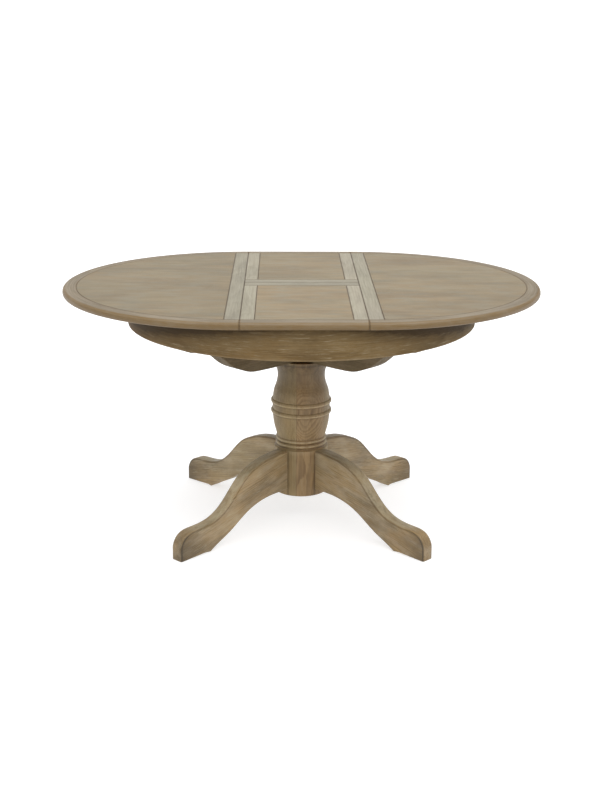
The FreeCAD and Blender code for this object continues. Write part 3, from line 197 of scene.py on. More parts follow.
def rounded_section(corners: Sequence[Sequence[float]], radii: Sequence[float], steps: int) -> Array:
    """A convex section with its corners rounded.

    Each corner between unit directions p and q towards its neighbours gets an arc of its radius,
    tangent to both sides, as the circle about corner + (p + q) radius / sin(angle between them).

    Args:
        corners: The corners, anticlockwise.
        radii: The radius at each corner; zero keeps it sharp.
        steps: How many segments an arc has.

    Returns:
        The outline's points, anticlockwise.
    """
    points = np.asarray(corners, float)
    parts = []
    for index, radius in enumerate(radii):
        corner = points[index]
        back = points[index - 1] - corner
        ahead = points[(index + 1) % len(points)] - corner
        back = back / np.linalg.norm(back)
        ahead = ahead / np.linalg.norm(ahead)
        if radius <= 0.0:
            parts.append(corner[None])
            continue
        opening = math.acos(float(np.clip(back @ ahead, -1.0, 1.0)))
        reach = radius / math.tan(opening / 2.0)
        centre = corner + (back + ahead) * radius / math.sin(opening)
        start = corner + back * reach - centre
        end = corner + ahead * reach - centre
        share = np.linspace(0.0, 1.0, steps + 1)[:, None]
        turn = math.pi - opening
        arc = (np.sin((1.0 - share) * turn) * start + np.sin(share * turn) * end) / math.sin(turn)
        parts.append(centre + arc)
    return np.concatenate(parts)


def refined(outline: Array, longest: float) -> Array:
    """A closed outline with its long edges divided evenly.

    Args:
        outline: The outline's points, one to a row.
        longest: The longest edge that stays whole.

    Returns:
        The outline with the further points between the old ones.
    """
    ahead = np.roll(outline, -1, axis=0)
    counts = np.ceil(np.linalg.norm(ahead - outline, axis=1) / longest).astype(int).clip(1)
    first = np.cumsum(counts) - counts
    share = (np.arange(counts.sum()) - np.repeat(first, counts)) / np.repeat(counts, counts)
    return np.repeat(outline, counts, axis=0) + share[:, None] * np.repeat(ahead - outline, counts, axis=0)


def spin_about_z(degrees: float) -> Array:
    """The matrix that turns rows of points about the upright axis.

    Args:
        degrees: The turn.

    Returns:
        The matrix, to be multiplied from the right.
    """
    angle = math.radians(degrees)
    return np.array([[math.cos(angle), math.sin(angle), 0.0], [-math.sin(angle), math.cos(angle), 0.0],
                     [0.0, 0.0, 1.0]])


@dataclass
class Skin:
    """The closed surface of one piece, gathered from grids of points.

    Every point carries where it lies in the timber (along, across and through, in metres), its wear and
    painted light (1 is limed, rubbed pale or a painted highlight, -1 is stained or a painted shade, -2 is
    black with dirt and painted shade) and the piece's own tone (0 is the finish's own).
    """

    name: str
    tone: float = 0.0
    points: list[Array] = field(default_factory=list)
    timber: list[Array] = field(default_factory=list)
    wear_and_light: list[Array] = field(default_factory=list)
    faces: list[tuple[int, ...]] = field(default_factory=list)
    count: int = 0

    def add_points(self, points: Array, timber: Array, wear_and_light: Array) -> int:
        """Adds points.

        Args:
            points: The points, in any grid.
            timber: Their timber coordinates, in the same grid.
            wear_and_light: Their wear and painted light, in the same grid or one that spreads to it.

        Returns:
            The number of the first of them.
        """
        first = self.count
        self.points.append(points.reshape(-1, 3))
        self.timber.append(timber.reshape(-1, 3))
        self.wear_and_light.append(np.broadcast_to(wear_and_light, points.shape[:-1]).reshape(-1))
        self.count += len(self.points[-1])
        return first

    def add_quads(self, corners: Sequence[Array]) -> None:
        """Adds four-cornered faces from four whole arrays of point numbers."""
        self.faces.extend(map(tuple, np.stack([corner.ravel() for corner in corners], axis=1).tolist()))

    def add_tube(self, rings: Array, timber: Array, wear_and_light: Array, caps: bool = True) -> None:
        """A closed tube: rings of points joined one to the next, with an end face on each.

        Args:
            rings: Points as (ring, place on the ring, xyz). Seen from the last ring towards the
                first, each ring runs anticlockwise.
            timber: The timber coordinates of those points.
            wear_and_light: The wear and painted light of those points.
            caps: Whether the ends are closed.
        """
        count, around = rings.shape[:2]
        wear_and_light = np.broadcast_to(wear_and_light, (count, around))
        first = self.add_points(rings, timber, wear_and_light)
        numbers = first + np.arange(count * around).reshape(count, around)
        beside = np.roll(numbers, -1, axis=1)
        self.add_quads([numbers[:-1], beside[:-1], beside[1:], numbers[1:]])
        if caps:
            self.add_cap(numbers[0][::-1], rings[0][::-1], timber[0][::-1], wear_and_light[0][::-1])
            self.add_cap(numbers[-1], rings[-1], timber[-1], wear_and_light[-1])

    def add_cap(self, numbers: Array, ring: Array, timber: Array, wear_and_light: Array) -> None:
        """A flat end face: a narrow band just inside the ring, and a fan about its middle.

        The band keeps the face's shading flat.

        Args:
            numbers: The numbers of the ring's points, anticlockwise from outside.
            ring: The ring's points.
            timber: Their timber coordinates.
            wear_and_light: Their wear and painted light.
        """
        middle = ring.mean(axis=0)
        core = timber.mean(axis=0)
        inner = middle + (ring - middle) * CAP_SHARE
        calm = np.where(np.abs(wear_and_light) < CALM_WEAR_AND_LIGHT, wear_and_light, 0.0)
        first = self.add_points(inner, core + (timber - core) * CAP_SHARE, calm)
        band = first + np.arange(len(ring))
        self.add_quads([numbers, np.roll(numbers, -1), np.roll(band, -1), band])
        centre = self.add_points(middle[None], core[None], np.array([calm.mean()]))
        hub = np.full(len(ring), centre)
        fan = np.stack([band, np.roll(band, -1), hub], axis=1)
        self.faces.extend(map(tuple, fan.tolist()))

    def build(self, finish: bpy.types.Material, body: str, slot: str, nodes: Sequence[str],
              crease: float = 34.0) -> bpy.types.Object:
        """Makes the Blender object, rides it on its body and lets it stand for its CAD nodes.

        Args:
            finish: The material.
            body: The CAD body that carries the piece.
            slot: The record's material slot; not used.
            nodes: The CAD nodes that the piece stands for.
            crease: The angle in degrees past which an edge stays sharp.

        Returns:
            The new object.
        """
        mesh = bpy.data.meshes.new(self.name)
        mesh.from_pydata(np.concatenate(self.points).tolist(), [], self.faces)
        timber = mesh.attributes.new("timber", "FLOAT_VECTOR", "POINT")
        timber.data.foreach_set("vector", np.concatenate(self.timber).astype(np.float32).ravel())
        wear_and_light = mesh.attributes.new("wear_and_light", "FLOAT", "POINT")
        wear_and_light.data.foreach_set("value", np.concatenate(self.wear_and_light).astype(np.float32))
        tone = mesh.attributes.new("tone", "FLOAT", "POINT")
        tone.data.foreach_set("value", np.full(self.count, self.tone, np.float32))
        mesh.polygons.foreach_set("use_smooth", np.ones(len(self.faces), bool))
        mesh.update()
        mesh.set_sharp_from_angle(angle=math.radians(crease))
        mesh.validate()
        piece = bpy.data.objects.new(self.name, mesh)
        bpy.context.scene.collection.objects.link(piece)
        mesh.materials.append(finish)
        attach(piece, body)
        if nodes:
            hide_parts(*nodes)
        log.info("%s stands for %s on %s", self.name, ", ".join(nodes) or "nothing", body)
        return piece


@dataclass(frozen=True)
class Timber:
    """How a board was cut from the tree: the way its grain runs, and where in the log it lay."""

    along: tuple[float, float, float]
    across: tuple[float, float, float]
    offset: tuple[float, float, float] = (0.0, 0.0, 0.0)

    def at(self, points: Array) -> Array:
        """Timber coordinates: the dot products with the along, across and through directions, and the offset.

        Args:
            points: Points, xyz last.

        Returns:
            Their places in the timber, as (along, across, through).
        """
        along = np.array(self.along) / np.linalg.norm(self.along)
        across = np.array(self.across) / np.linalg.norm(self.across)
        through = np.cross(along, across)
        return points @ np.stack([along, across, through], axis=1) + np.array(self.offset)


# Finishes

class Graph:
    """A material's node tree, written as sums and mixes of sockets."""

    def __init__(self, name: str) -> None:
        """Makes an empty material with an output.

        Args:
            name: The material's name.
        """
        self.material = bpy.data.materials.new(name)
        self.material.use_nodes = True
        self.tree = self.material.node_tree
        self.tree.nodes.clear()
        self.output = self.tree.nodes.new("ShaderNodeOutputMaterial")

    def feed(self, socket: Socket, value: object) -> None:
        """Links a socket to another, or sets its number, vector or colour.

        Args:
            socket: The input.
            value: A socket, a number or a tuple.
        """
        if isinstance(value, Socket):
            self.tree.links.new(value, socket)
        elif isinstance(value, tuple) and len(value) == 3 and socket.type == "RGBA":
            socket.default_value = (*value, 1.0)
        else:
            socket.default_value = value

    def attribute(self, name: str, output: str) -> Socket:
        """A value that the mesh carries.

        Args:
            name: The attribute's name.
            output: The node's output, Vector or Fac.

        Returns:
            The output.
        """
        node = self.tree.nodes.new("ShaderNodeAttribute")
        node.attribute_name = name
        return node.outputs[output]

    def place(self) -> Socket:
        """The place on the object, in metres."""
        return self.tree.nodes.new("ShaderNodeTexCoord").outputs["Object"]

    def sum_of(self, kind: str, *values: object, clamp: bool = False) -> Socket:
        """One Math node.

        Args:
            kind: Its operation.
            values: Sockets or numbers for its inputs, in order.
            clamp: Whether the result is held between 0 and 1.

        Returns:
            Its output.
        """
        node = self.tree.nodes.new("ShaderNodeMath")
        node.operation = kind
        node.use_clamp = clamp
        for socket, value in zip(node.inputs, values):
            self.feed(socket, value)
        return node.outputs[0]

    def vector(self, kind: str, *values: object) -> Socket:
        """One Vector Math node.

        Args:
            kind: Its operation.
            values: Sockets or tuples for its inputs, in order.

        Returns:
            Its output, a number for a length or a dot product.
        """
        node = self.tree.nodes.new("ShaderNodeVectorMath")
        node.operation = kind
        for socket, value in zip(node.inputs, values):
            self.feed(socket, value)
        return node.outputs["Value" if kind in ("LENGTH", "DOT_PRODUCT") else "Vector"]

    def turned(self, place: object, degrees: tuple[float, float, float]) -> Socket:
        """Places turned about the origin by a Mapping node.

        Args:
            place: The places.
            degrees: The turns about x, y and z.

        Returns:
            The turned places.
        """
        node = self.tree.nodes.new("ShaderNodeMapping")
        self.feed(node.inputs["Vector"], place)
        node.inputs["Rotation"].default_value = tuple(math.radians(angle) for angle in degrees)
        return node.outputs[0]

    def parts(self, place: object) -> tuple[Socket, ...]:
        """A vector's three numbers.

        Args:
            place: The vector.

        Returns:
            Its x, y and z.
        """
        node = self.tree.nodes.new("ShaderNodeSeparateXYZ")
        self.feed(node.inputs[0], place)
        return tuple(node.outputs)

    def joined(self, x: object, y: object, z: object) -> Socket:
        """Three numbers as a vector.

        Args:
            x: The first.
            y: The second.
            z: The third.

        Returns:
            The vector.
        """
        node = self.tree.nodes.new("ShaderNodeCombineXYZ")
        for socket, value in zip(node.inputs, (x, y, z)):
            self.feed(socket, value)
        return node.outputs[0]

    def noise(self, place: object, per_metre: tuple[float, float, float], detail: float = 2.0,
              roughness: float = 0.5) -> Socket:
        """Smooth noise from 0 to 1.

        Args:
            place: Where it is read.
            per_metre: How many features it has to the metre each way.
            detail: How many finer layers are added.
            roughness: How strong each layer is beside the one before.

        Returns:
            The noise.
        """
        node = self.tree.nodes.new("ShaderNodeTexNoise")
        self.feed(node.inputs["Vector"], self.vector("MULTIPLY", place, per_metre))
        node.inputs["Scale"].default_value = 1.0
        node.inputs["Detail"].default_value = detail
        node.inputs["Roughness"].default_value = roughness
        return node.outputs["Fac"]

    def stretch(self, value: object, low: float, high: float, to_low: float = 0.0,
                to_high: float = 1.0) -> Socket:
        """A number's range moved smoothly to another, with its ends held.

        Args:
            value: The number.
            low: The range's lower end.
            high: Its upper end.
            to_low: What the lower end becomes.
            to_high: What the upper end becomes.

        Returns:
            The new number.
        """
        node = self.tree.nodes.new("ShaderNodeMapRange")
        node.interpolation_type = "SMOOTHSTEP"
        self.feed(node.inputs["Value"], value)
        for name, end in (("From Min", low), ("From Max", high), ("To Min", to_low), ("To Max", to_high)):
            node.inputs[name].default_value = end
        return node.outputs["Result"]

    def mix(self, share: object, first: object, second: object, blend: str = "MIX") -> Socket:
        """Two colours mixed.

        Args:
            share: The share of the second.
            first: The first colour.
            second: The second colour.
            blend: How they are blended.

        Returns:
            The mixed colour.
        """
        node = self.tree.nodes.new("ShaderNodeMix")
        node.data_type = "RGBA"
        node.blend_type = blend
        self.feed(node.inputs[MIX_SHARE], share)
        self.feed(node.inputs[MIX_FIRST], first)
        self.feed(node.inputs[MIX_SECOND], second)
        return node.outputs[MIX_RESULT]

    def bump(self, height: object, distance: float, strength: float = 1.0) -> Socket:
        """A normal bent by a height.

        Args:
            height: The height, from 0 to 1.
            distance: How far that is, in metres.
            strength: How much of the bend is kept.

        Returns:
            The normal.
        """
        node = self.tree.nodes.new("ShaderNodeBump")
        node.inputs["Strength"].default_value = strength
        node.inputs["Distance"].default_value = distance
        self.feed(node.inputs["Height"], height)
        return node.outputs[0]

    def surface(self, **sockets: object) -> bpy.types.Material:
        """Ends the tree in a Principled surface.

        Args:
            sockets: Its inputs by name, with spaces written as underlines.

        Returns:
            The material.
        """
        shader = self.tree.nodes.new("ShaderNodeBsdfPrincipled")
        for name, value in sockets.items():
            self.feed(shader.inputs[name.replace("_", " ")], value)
        self.tree.links.new(shader.outputs[0], self.output.inputs[0])
        return self.material


@dataclass(frozen=True)
class Plank:
    """One plank of a glued-up piece.

    It reaches across from start to the next plank; its rings run about the pith (across, through), and
    its tint and the strength of its rings multiply the finish's own.
    """

    start: float
    pith: tuple[float, float]
    tint: Colour = (1.0, 1.0, 1.0)
    rings: float = 1.0


class Figure(Enum):
    """The oak's patterns: features to the metre (along, across, through), detail and roughness."""

    SWAY = ((1.6, 7.0, 7.0), 2.0, 0.5)
    RIPPLE = ((9.0, 40.0, 40.0), 3.0, 0.5)
    FIBRE = ((16.0, 900.0, 900.0), 2.0, 0.6)
    STREAK = ((6.0, 240.0, 240.0), 4.0, 0.62)
    BAND = ((2.2, 38.0, 38.0), 3.0, 0.6)
    DRIFT = ((1.8, 5.0, 5.0), 2.0, 0.5)
    MOTTLE = ((11.0, 34.0, 34.0), 4.0, 0.6)
    CLOUD = ((5.0, 13.0, 13.0), 5.0, 0.62)
    PORES = ((30.0, 1500.0, 1500.0), 1.0, 0.5)
    OPEN_GRAIN = ((5.0, 60.0, 60.0), 2.0, 0.5)
    PATCHES = ((25.0, 90.0, 90.0), 3.0, 0.7)


@dataclass(frozen=True)
class LimedOak:
    """Oak, stained grey-brown, with pale lime left in its pores and on its arrises, and dirt in its joints.

    The growth rings are cylinders about a pith beside the board, bent by slow noise, so a flat sawn
    face shows cathedrals and a turned one shows ovals. Fibres and pores are noise drawn out along
    the grain. Colours are linear.
    """

    name: str
    early: Colour
    late: Colour
    stain: Colour
    lime: Colour
    warm: Colour
    planks: tuple[Plank, ...] = (Plank(FROM_EDGE, (0.02, -0.2)),)
    ring: float = 0.0065
    ring_share: float = 0.5
    sway: float = 0.05
    ripple: float = 0.004
    taper: float = 0.02
    streak_share: float = 0.5
    lime_share: float = 0.4
    lime_along: float = 9.0
    lime_across: float = 300.0
    drift_share: float = 0.5
    mottle: Colour = (0.3, 0.24, 0.17)
    mottle_share: float = 0.0
    cloud_share: float = 0.2
    fibre_share: float = 0.22
    rubbed_share: float = 0.75
    soaked_share: float = 0.85
    roughness: float = 0.5
    gleam: float = 0.25
    relief: float = 0.00025
    # The dirt colour, which also paints the deepest shade.
    dirt_and_shade: Colour = (0.03, 0.02, 0.012)

    def from_planks(self, g: Graph, across: Socket) -> tuple[list[object], object, object, object]:
        """What each place takes from the plank that it lies in.

        Args:
            g: The material's nodes.
            across: The place across the piece.

        Returns:
            The pith's place, the tint, the strength of the rings, and the dark glue lines between planks.
        """
        pith: list[object] = list(self.planks[0].pith)
        tint: object = self.planks[0].tint
        strength: object = self.planks[0].rings
        glue: object = 0.0
        for plank, before in zip(self.planks[1:], self.planks):
            beyond = g.sum_of("GREATER_THAN", across, plank.start)
            pith = [g.sum_of("MULTIPLY_ADD", beyond, new - old, so_far)
                    for new, old, so_far in zip(plank.pith, before.pith, pith)]
            tint = g.mix(beyond, tint, plank.tint)
            strength = g.sum_of("MULTIPLY_ADD", beyond, plank.rings - before.rings, strength)
            apart = g.sum_of("ABSOLUTE", g.sum_of("SUBTRACT", across, plank.start))
            glue = g.sum_of("MAXIMUM", g.stretch(apart, 0.0003, 0.0009, 0.45, 0.0), glue)
        return pith, tint, strength, glue

    def late_wood(self, g: Graph, timber: Socket, pith: Sequence[object]) -> Socket:
        """The dark part of the growth rings.

        A place's ring is the fraction of its distance from the pith, bent by noise, over the ring's
        width. It darkens slowly outwards and ends at once, and noise along it weakens it in places.

        Args:
            g: The material's nodes.
            timber: The place in the timber.
            pith: The pith's place, across and through.

        Returns:
            How dark the ring is, from 0 to 1.
        """
        along, across, through = g.parts(timber)
        sway = g.noise(timber, *Figure.SWAY.value)
        ripple = g.noise(timber, *Figure.RIPPLE.value)
        wander = g.sum_of("MULTIPLY_ADD", sway, self.sway, g.sum_of("MULTIPLY", ripple, self.ripple))
        side = g.sum_of("SUBTRACT", g.sum_of("ADD", across, wander), pith[0])
        depth = g.sum_of("SUBTRACT", g.sum_of("ADD", through, wander), pith[1])
        reach = g.vector("LENGTH", g.joined(g.sum_of("MULTIPLY", along, self.taper), side, depth))
        rings = g.sum_of("FRACT", g.sum_of("DIVIDE", reach, self.ring))
        late = g.sum_of("MULTIPLY", g.stretch(rings, 0.15, 0.9), g.stretch(rings, 1.0, 0.92))
        lengths = g.joined(g.sum_of("MULTIPLY", along, 3.0), g.sum_of("MULTIPLY", reach, 70.0), 0.0)
        vigour = g.noise(lengths, (1.0, 1.0, 1.0), detail=1.0)
        return g.sum_of("MULTIPLY", late, g.stretch(vigour, 0.3, 0.65, 0.3, 1.0))

    def ground(self, g: Graph, timber: Socket, late: Socket, streak: Socket, strength: object,
               tint: object) -> Socket:
        """The wood's own colour: rings, streaks and bands, warm drifts, mottles, tints and clouds.

        Args:
            g: The material's nodes.
            timber: The place in the timber.
            late: The dark part of the rings.
            streak: The streaks.
            strength: The strength of the plank's rings.
            tint: The plank's tint.

        Returns:
            The colour.
        """
        band = g.noise(timber, *Figure.BAND.value)
        drift = g.noise(timber, *Figure.DRIFT.value)
        body = g.sum_of("MULTIPLY", late, g.sum_of("MULTIPLY", strength, self.ring_share))
        body = g.sum_of("MULTIPLY_ADD", g.stretch(streak, 0.3, 0.7), self.streak_share, body)
        body = g.sum_of("MULTIPLY_ADD", g.stretch(band, 0.3, 0.7), 0.5 * self.streak_share, body)
        body = g.sum_of("SUBTRACT", body, 0.5 * self.streak_share, clamp=True)
        colour = g.mix(body, self.early, self.late)
        warm = g.sum_of("MULTIPLY", g.stretch(drift, 0.32, 0.68), self.drift_share)
        colour = g.mix(warm, colour, self.warm, "MULTIPLY")
        mottled = g.stretch(g.noise(timber, *Figure.MOTTLE.value), 0.42, 0.68)
        colour = g.mix(g.sum_of("MULTIPLY", mottled, self.mottle_share), colour, self.mottle)
        cloud = g.stretch(g.noise(timber, *Figure.CLOUD.value), 0.35, 0.7)
        cloud = g.sum_of("MULTIPLY_ADD", cloud, -self.cloud_share, 1.0 + 0.5 * self.cloud_share)
        return g.vector("MULTIPLY", g.mix(1.0, colour, tint, "MULTIPLY"), g.joined(cloud, cloud, cloud))

    def limed(self, g: Graph, timber: Socket, pores: Socket, colour: Socket) -> Socket:
        """The colour with pale lime in the pores and in long runs, and stained fibres over both.

        Args:
            g: The material's nodes.
            timber: The place in the timber.
            pores: The pores.
            colour: The colour so far.

        Returns:
            The new colour.
        """
        open_grain = g.stretch(g.noise(timber, *Figure.OPEN_GRAIN.value), 0.35, 0.65)
        per_metre = (self.lime_along, self.lime_across, self.lime_across)
        long_lime = g.stretch(g.noise(timber, per_metre, detail=3.0, roughness=0.7), 0.56, 0.72)
        limed = g.sum_of("MAXIMUM", g.sum_of("MULTIPLY", pores, open_grain),
                         g.sum_of("MULTIPLY", long_lime, 0.8))
        colour = g.mix(g.sum_of("MULTIPLY", limed, self.lime_share), colour, self.lime)
        fibre = g.noise(timber, *Figure.FIBRE.value)
        return g.mix(g.sum_of("MULTIPLY", fibre, self.fibre_share), colour, self.stain)

    def worn_and_lit(self, g: Graph, timber: Socket, glue: object, colour: Socket) -> Socket:
        """The colour with lime where wear is above 0, stain where it is below, and dirt below -1; where the
        pieces paint light into the wear, these give painted highlights and painted shade.

        Args:
            g: The material's nodes.
            timber: The place in the timber.
            glue: The glue lines.
            colour: The colour so far.

        Returns:
            The new colour, shaded by the piece's own tone.
        """
        wear_and_light = g.attribute("wear_and_light", "Fac")
        patchy = g.noise(timber, *Figure.PATCHES.value)
        rubbed = g.sum_of("MULTIPLY", wear_and_light, g.stretch(patchy, 0.3, 0.62, 0.3, 1.1), clamp=True)
        soaked = g.sum_of("MULTIPLY", wear_and_light, g.stretch(patchy, 0.35, 0.7, -0.8, -1.15), clamp=True)
        soaked = g.sum_of("MAXIMUM", soaked, glue)
        # Below -1 the colour darkens to dirt in the seams and to painted shade.
        dirt_and_shade_amount = g.sum_of("SUBTRACT", g.sum_of("MULTIPLY", wear_and_light, -1.0), 1.0, clamp=True)
        colour = g.mix(g.sum_of("MULTIPLY", rubbed, self.rubbed_share), colour, self.lime)
        colour = g.mix(g.sum_of("MULTIPLY", soaked, self.soaked_share), colour, self.stain)
        colour = g.mix(g.sum_of("MULTIPLY", dirt_and_shade_amount, self.soaked_share), colour, self.dirt_and_shade)
        shade = g.sum_of("ADD", 1.0, g.attribute("tone", "Fac"))
        return g.vector("MULTIPLY", colour, g.joined(shade, shade, shade))

    def material(self) -> bpy.types.Material:
        """The finish as a procedural material.

        Returns:
            The material.
        """
        g = Graph(self.name)
        timber = g.attribute("timber", "Vector")
        pith, tint, strength, glue = self.from_planks(g, g.parts(timber)[1])
        late = self.late_wood(g, timber, pith)
        streak = g.noise(timber, *Figure.STREAK.value)
        pores = g.stretch(g.noise(timber, *Figure.PORES.value), 0.56, 0.7)
        pores = g.sum_of("MULTIPLY", pores, g.stretch(late, 0.9, 0.1, 0.35, 1.0))

        colour = self.ground(g, timber, late, streak, strength, tint)
        colour = self.limed(g, timber, pores, colour)
        colour = self.worn_and_lit(g, timber, glue, colour)

        height = g.sum_of("SUBTRACT", g.sum_of("MULTIPLY", late, 0.35), g.sum_of("MULTIPLY", pores, 0.8))
        height = g.sum_of("MULTIPLY_ADD", streak, 0.5, height)
        gloss = g.sum_of("MULTIPLY_ADD", pores, 0.2, self.roughness)
        gloss = g.sum_of("MULTIPLY_ADD", streak, 0.12, gloss, clamp=True)
        return g.surface(Base_Color=colour, Roughness=gloss, Normal=g.bump(height, self.relief),
                         Specular_IOR_Level=self.gleam)


class Way(Enum):
    """Which way the grain of a hidden part runs."""

    X = (0.0, 0.0, 0.0)
    Y = (0.0, 0.0, -90.0)
    Z = (0.0, 90.0, 0.0)


@dataclass(frozen=True)
class PlainBeech:
    """Planed beech for the hidden frame: pale pinkish wood with short dark flecks."""

    name: str
    way: Way
    pale: Colour = (0.50, 0.34, 0.20)
    dark: Colour = (0.36, 0.22, 0.12)
    fleck: Colour = (0.24, 0.13, 0.07)

    def material(self) -> bpy.types.Material:
        """The finish as a procedural material.

        Returns:
            The material.
        """
        g = Graph(self.name)
        place = g.turned(g.place(), self.way.value)
        band = g.noise(place, (3.0, 60.0, 60.0), detail=4.0, roughness=0.6)
        fleck = g.stretch(g.noise(place, (120.0, 1100.0, 1100.0), detail=1.0), 0.62, 0.72)
        colour = g.mix(g.stretch(band, 0.3, 0.7), self.pale, self.dark)
        colour = g.mix(g.sum_of("MULTIPLY", fleck, 0.6), colour, self.fleck)
        saw = g.noise(place, (600.0, 20.0, 20.0), detail=1.0)
        height = g.sum_of("MULTIPLY_ADD", saw, 0.4, band)
        return g.surface(Base_Color=colour, Roughness=g.stretch(band, 0.2, 0.8, 0.55, 0.7),
                         Normal=g.bump(height, 0.0002))


@dataclass(frozen=True)
class Plywood:
    """Birch plywood: a pale face, and dark and light plies on its edges."""

    name: str
    low: float
    ply: float = 0.0015
    pale: Colour = (0.58, 0.44, 0.28)
    dark: Colour = (0.33, 0.21, 0.12)

    def material(self) -> bpy.types.Material:
        """The finish as a procedural material.

        Returns:
            The material.
        """
        g = Graph(self.name)
        place = g.place()
        figure = g.noise(place, (3.0, 26.0, 3.0), detail=4.0, roughness=0.6)
        face = g.mix(g.stretch(figure, 0.3, 0.75), self.pale, self.dark)
        height = g.parts(place)[2]
        plies = g.sum_of("FRACT", g.sum_of("DIVIDE", g.sum_of("SUBTRACT", height, self.low), 2.0 * self.ply))
        edge = g.mix(g.sum_of("GREATER_THAN", plies, 0.5), self.pale, self.dark)
        normal = g.parts(g.tree.nodes.new("ShaderNodeNewGeometry").outputs["True Normal"])[2]
        colour = g.mix(g.sum_of("GREATER_THAN", g.sum_of("ABSOLUTE", normal), 0.5), edge, face)
        return g.surface(Base_Color=colour, Roughness=0.62, Normal=g.bump(figure, 0.0002))


@dataclass(frozen=True)
class ZincSteel:
    """Zinc-plated steel: a grey metal with cloudy plating and fine scratches."""

    name: str
    colour: Colour = (0.55, 0.56, 0.57)
    dull: Colour = (0.36, 0.37, 0.39)

    def material(self) -> bpy.types.Material:
        """The finish as a procedural material.

        Returns:
            The material.
        """
        g = Graph(self.name)
        place = g.place()
        cloud = g.noise(place, (120.0, 120.0, 120.0), detail=3.0)
        scratch = g.noise(place, (2400.0, 300.0, 300.0), detail=1.0)
        colour = g.mix(g.stretch(cloud, 0.3, 0.7), self.colour, self.dull)
        rough = g.sum_of("MULTIPLY_ADD", cloud, 0.25, g.sum_of("MULTIPLY_ADD", scratch, 0.15, 0.2))
        return g.surface(Base_Color=colour, Metallic=1.0, Roughness=rough, Normal=g.bump(scratch, 0.00003))


@dataclass(frozen=True)
class Moulded:
    """Moulded nylon or pressed felt: an even colour with a fine grain."""

    name: str
    colour: Colour
    shade: Colour
    grains: float
    roughness: float
    relief: float

    def material(self) -> bpy.types.Material:
        """The finish as a procedural material.

        Returns:
            The material.
        """
        g = Graph(self.name)
        place = g.place()
        grain = g.noise(place, (self.grains,) * 3, detail=3.0)
        cloud = g.noise(place, (60.0, 60.0, 60.0), detail=2.0)
        colour = g.mix(g.sum_of("MULTIPLY", g.sum_of("ADD", grain, cloud), 0.5), self.colour, self.shade)
        return g.surface(Base_Color=colour, Roughness=self.roughness, Normal=g.bump(grain, self.relief))


TOP_FIELD = LimedOak(
    "oak_top_field", early=(0.19, 0.151, 0.088), late=(0.12, 0.095, 0.054), stain=(0.058, 0.036, 0.015),
    lime=(0.34, 0.31, 0.235), warm=(1.03, 0.935, 0.87), planks=(Plank(FROM_EDGE, (0.03, -0.9)),), ring=0.011,
    ring_share=0.25, streak_share=0.5, lime_share=0.22, drift_share=0.8, mottle=(0.172, 0.156, 0.112),
    mottle_share=0.6, cloud_share=0.26, roughness=0.42, gleam=0.35, relief=0.0001,
)
TOP_TRIM = LimedOak(
    "oak_top_trim", early=(0.25, 0.225, 0.17), late=(0.16, 0.14, 0.1), stain=(0.06, 0.037, 0.016),
    lime=(0.44, 0.42, 0.35), warm=(0.93, 0.97, 0.93), planks=(Plank(FROM_EDGE, (0.01, -0.2)),), ring=0.003,
    ring_share=0.3, streak_share=0.5, lime_share=0.4, drift_share=0.6, roughness=0.45, gleam=0.35,
    relief=0.00014,
)
TOP_RIM = LimedOak(
    "oak_top_rim", early=(0.172, 0.145, 0.105), late=(0.094, 0.07, 0.038), stain=(0.126, 0.073, 0.02),
    lime=(0.42, 0.37, 0.27), warm=(1.0, 0.93, 0.84), planks=(Plank(FROM_EDGE, (0.01, -0.14)),), ring=0.005,
    ring_share=0.3, streak_share=0.8, lime_share=0.35, lime_along=7.0, lime_across=220.0, drift_share=0.6,
    roughness=0.4, gleam=0.3, relief=0.00014,
)
COLUMN_OAK = LimedOak(
    "oak_base_turned", early=(0.238, 0.168, 0.083), late=(0.118, 0.075, 0.031), stain=(0.035, 0.021, 0.008),
    lime=(0.44, 0.36, 0.22), warm=(1.0, 0.92, 0.8),
    planks=(
        Plank(FROM_EDGE, (-0.36, -0.07), (1.0, 1.02, 0.94), 0.5),
        Plank(-0.016, (0.0, 0.16), (1.07, 0.99, 0.9), 1.2),
        Plank(0.072, (0.4, 0.1), (1.1, 1.1, 0.98), 0.8),
    ),
    ring=0.003, ring_share=0.55, streak_share=0.4, lime_share=0.35, drift_share=0.5,
    mottle=(0.25, 0.185, 0.1), mottle_share=0.4, cloud_share=0.35, roughness=0.42, gleam=0.36,
)
LEG_OAK = LimedOak(
    "oak_base_sawn", early=(0.24, 0.175, 0.085), late=(0.105, 0.072, 0.029), stain=(0.035, 0.025, 0.012),
    lime=(0.42, 0.37, 0.25), warm=(1.04, 0.93, 0.84), ring=0.0042, ring_share=0.45, streak_share=0.5,
    lime_share=0.45, lime_along=12.0, lime_across=75.0, drift_share=0.9, mottle=(0.3, 0.235, 0.15),
    mottle_share=0.6, cloud_share=0.6, roughness=0.4, gleam=0.38,
)
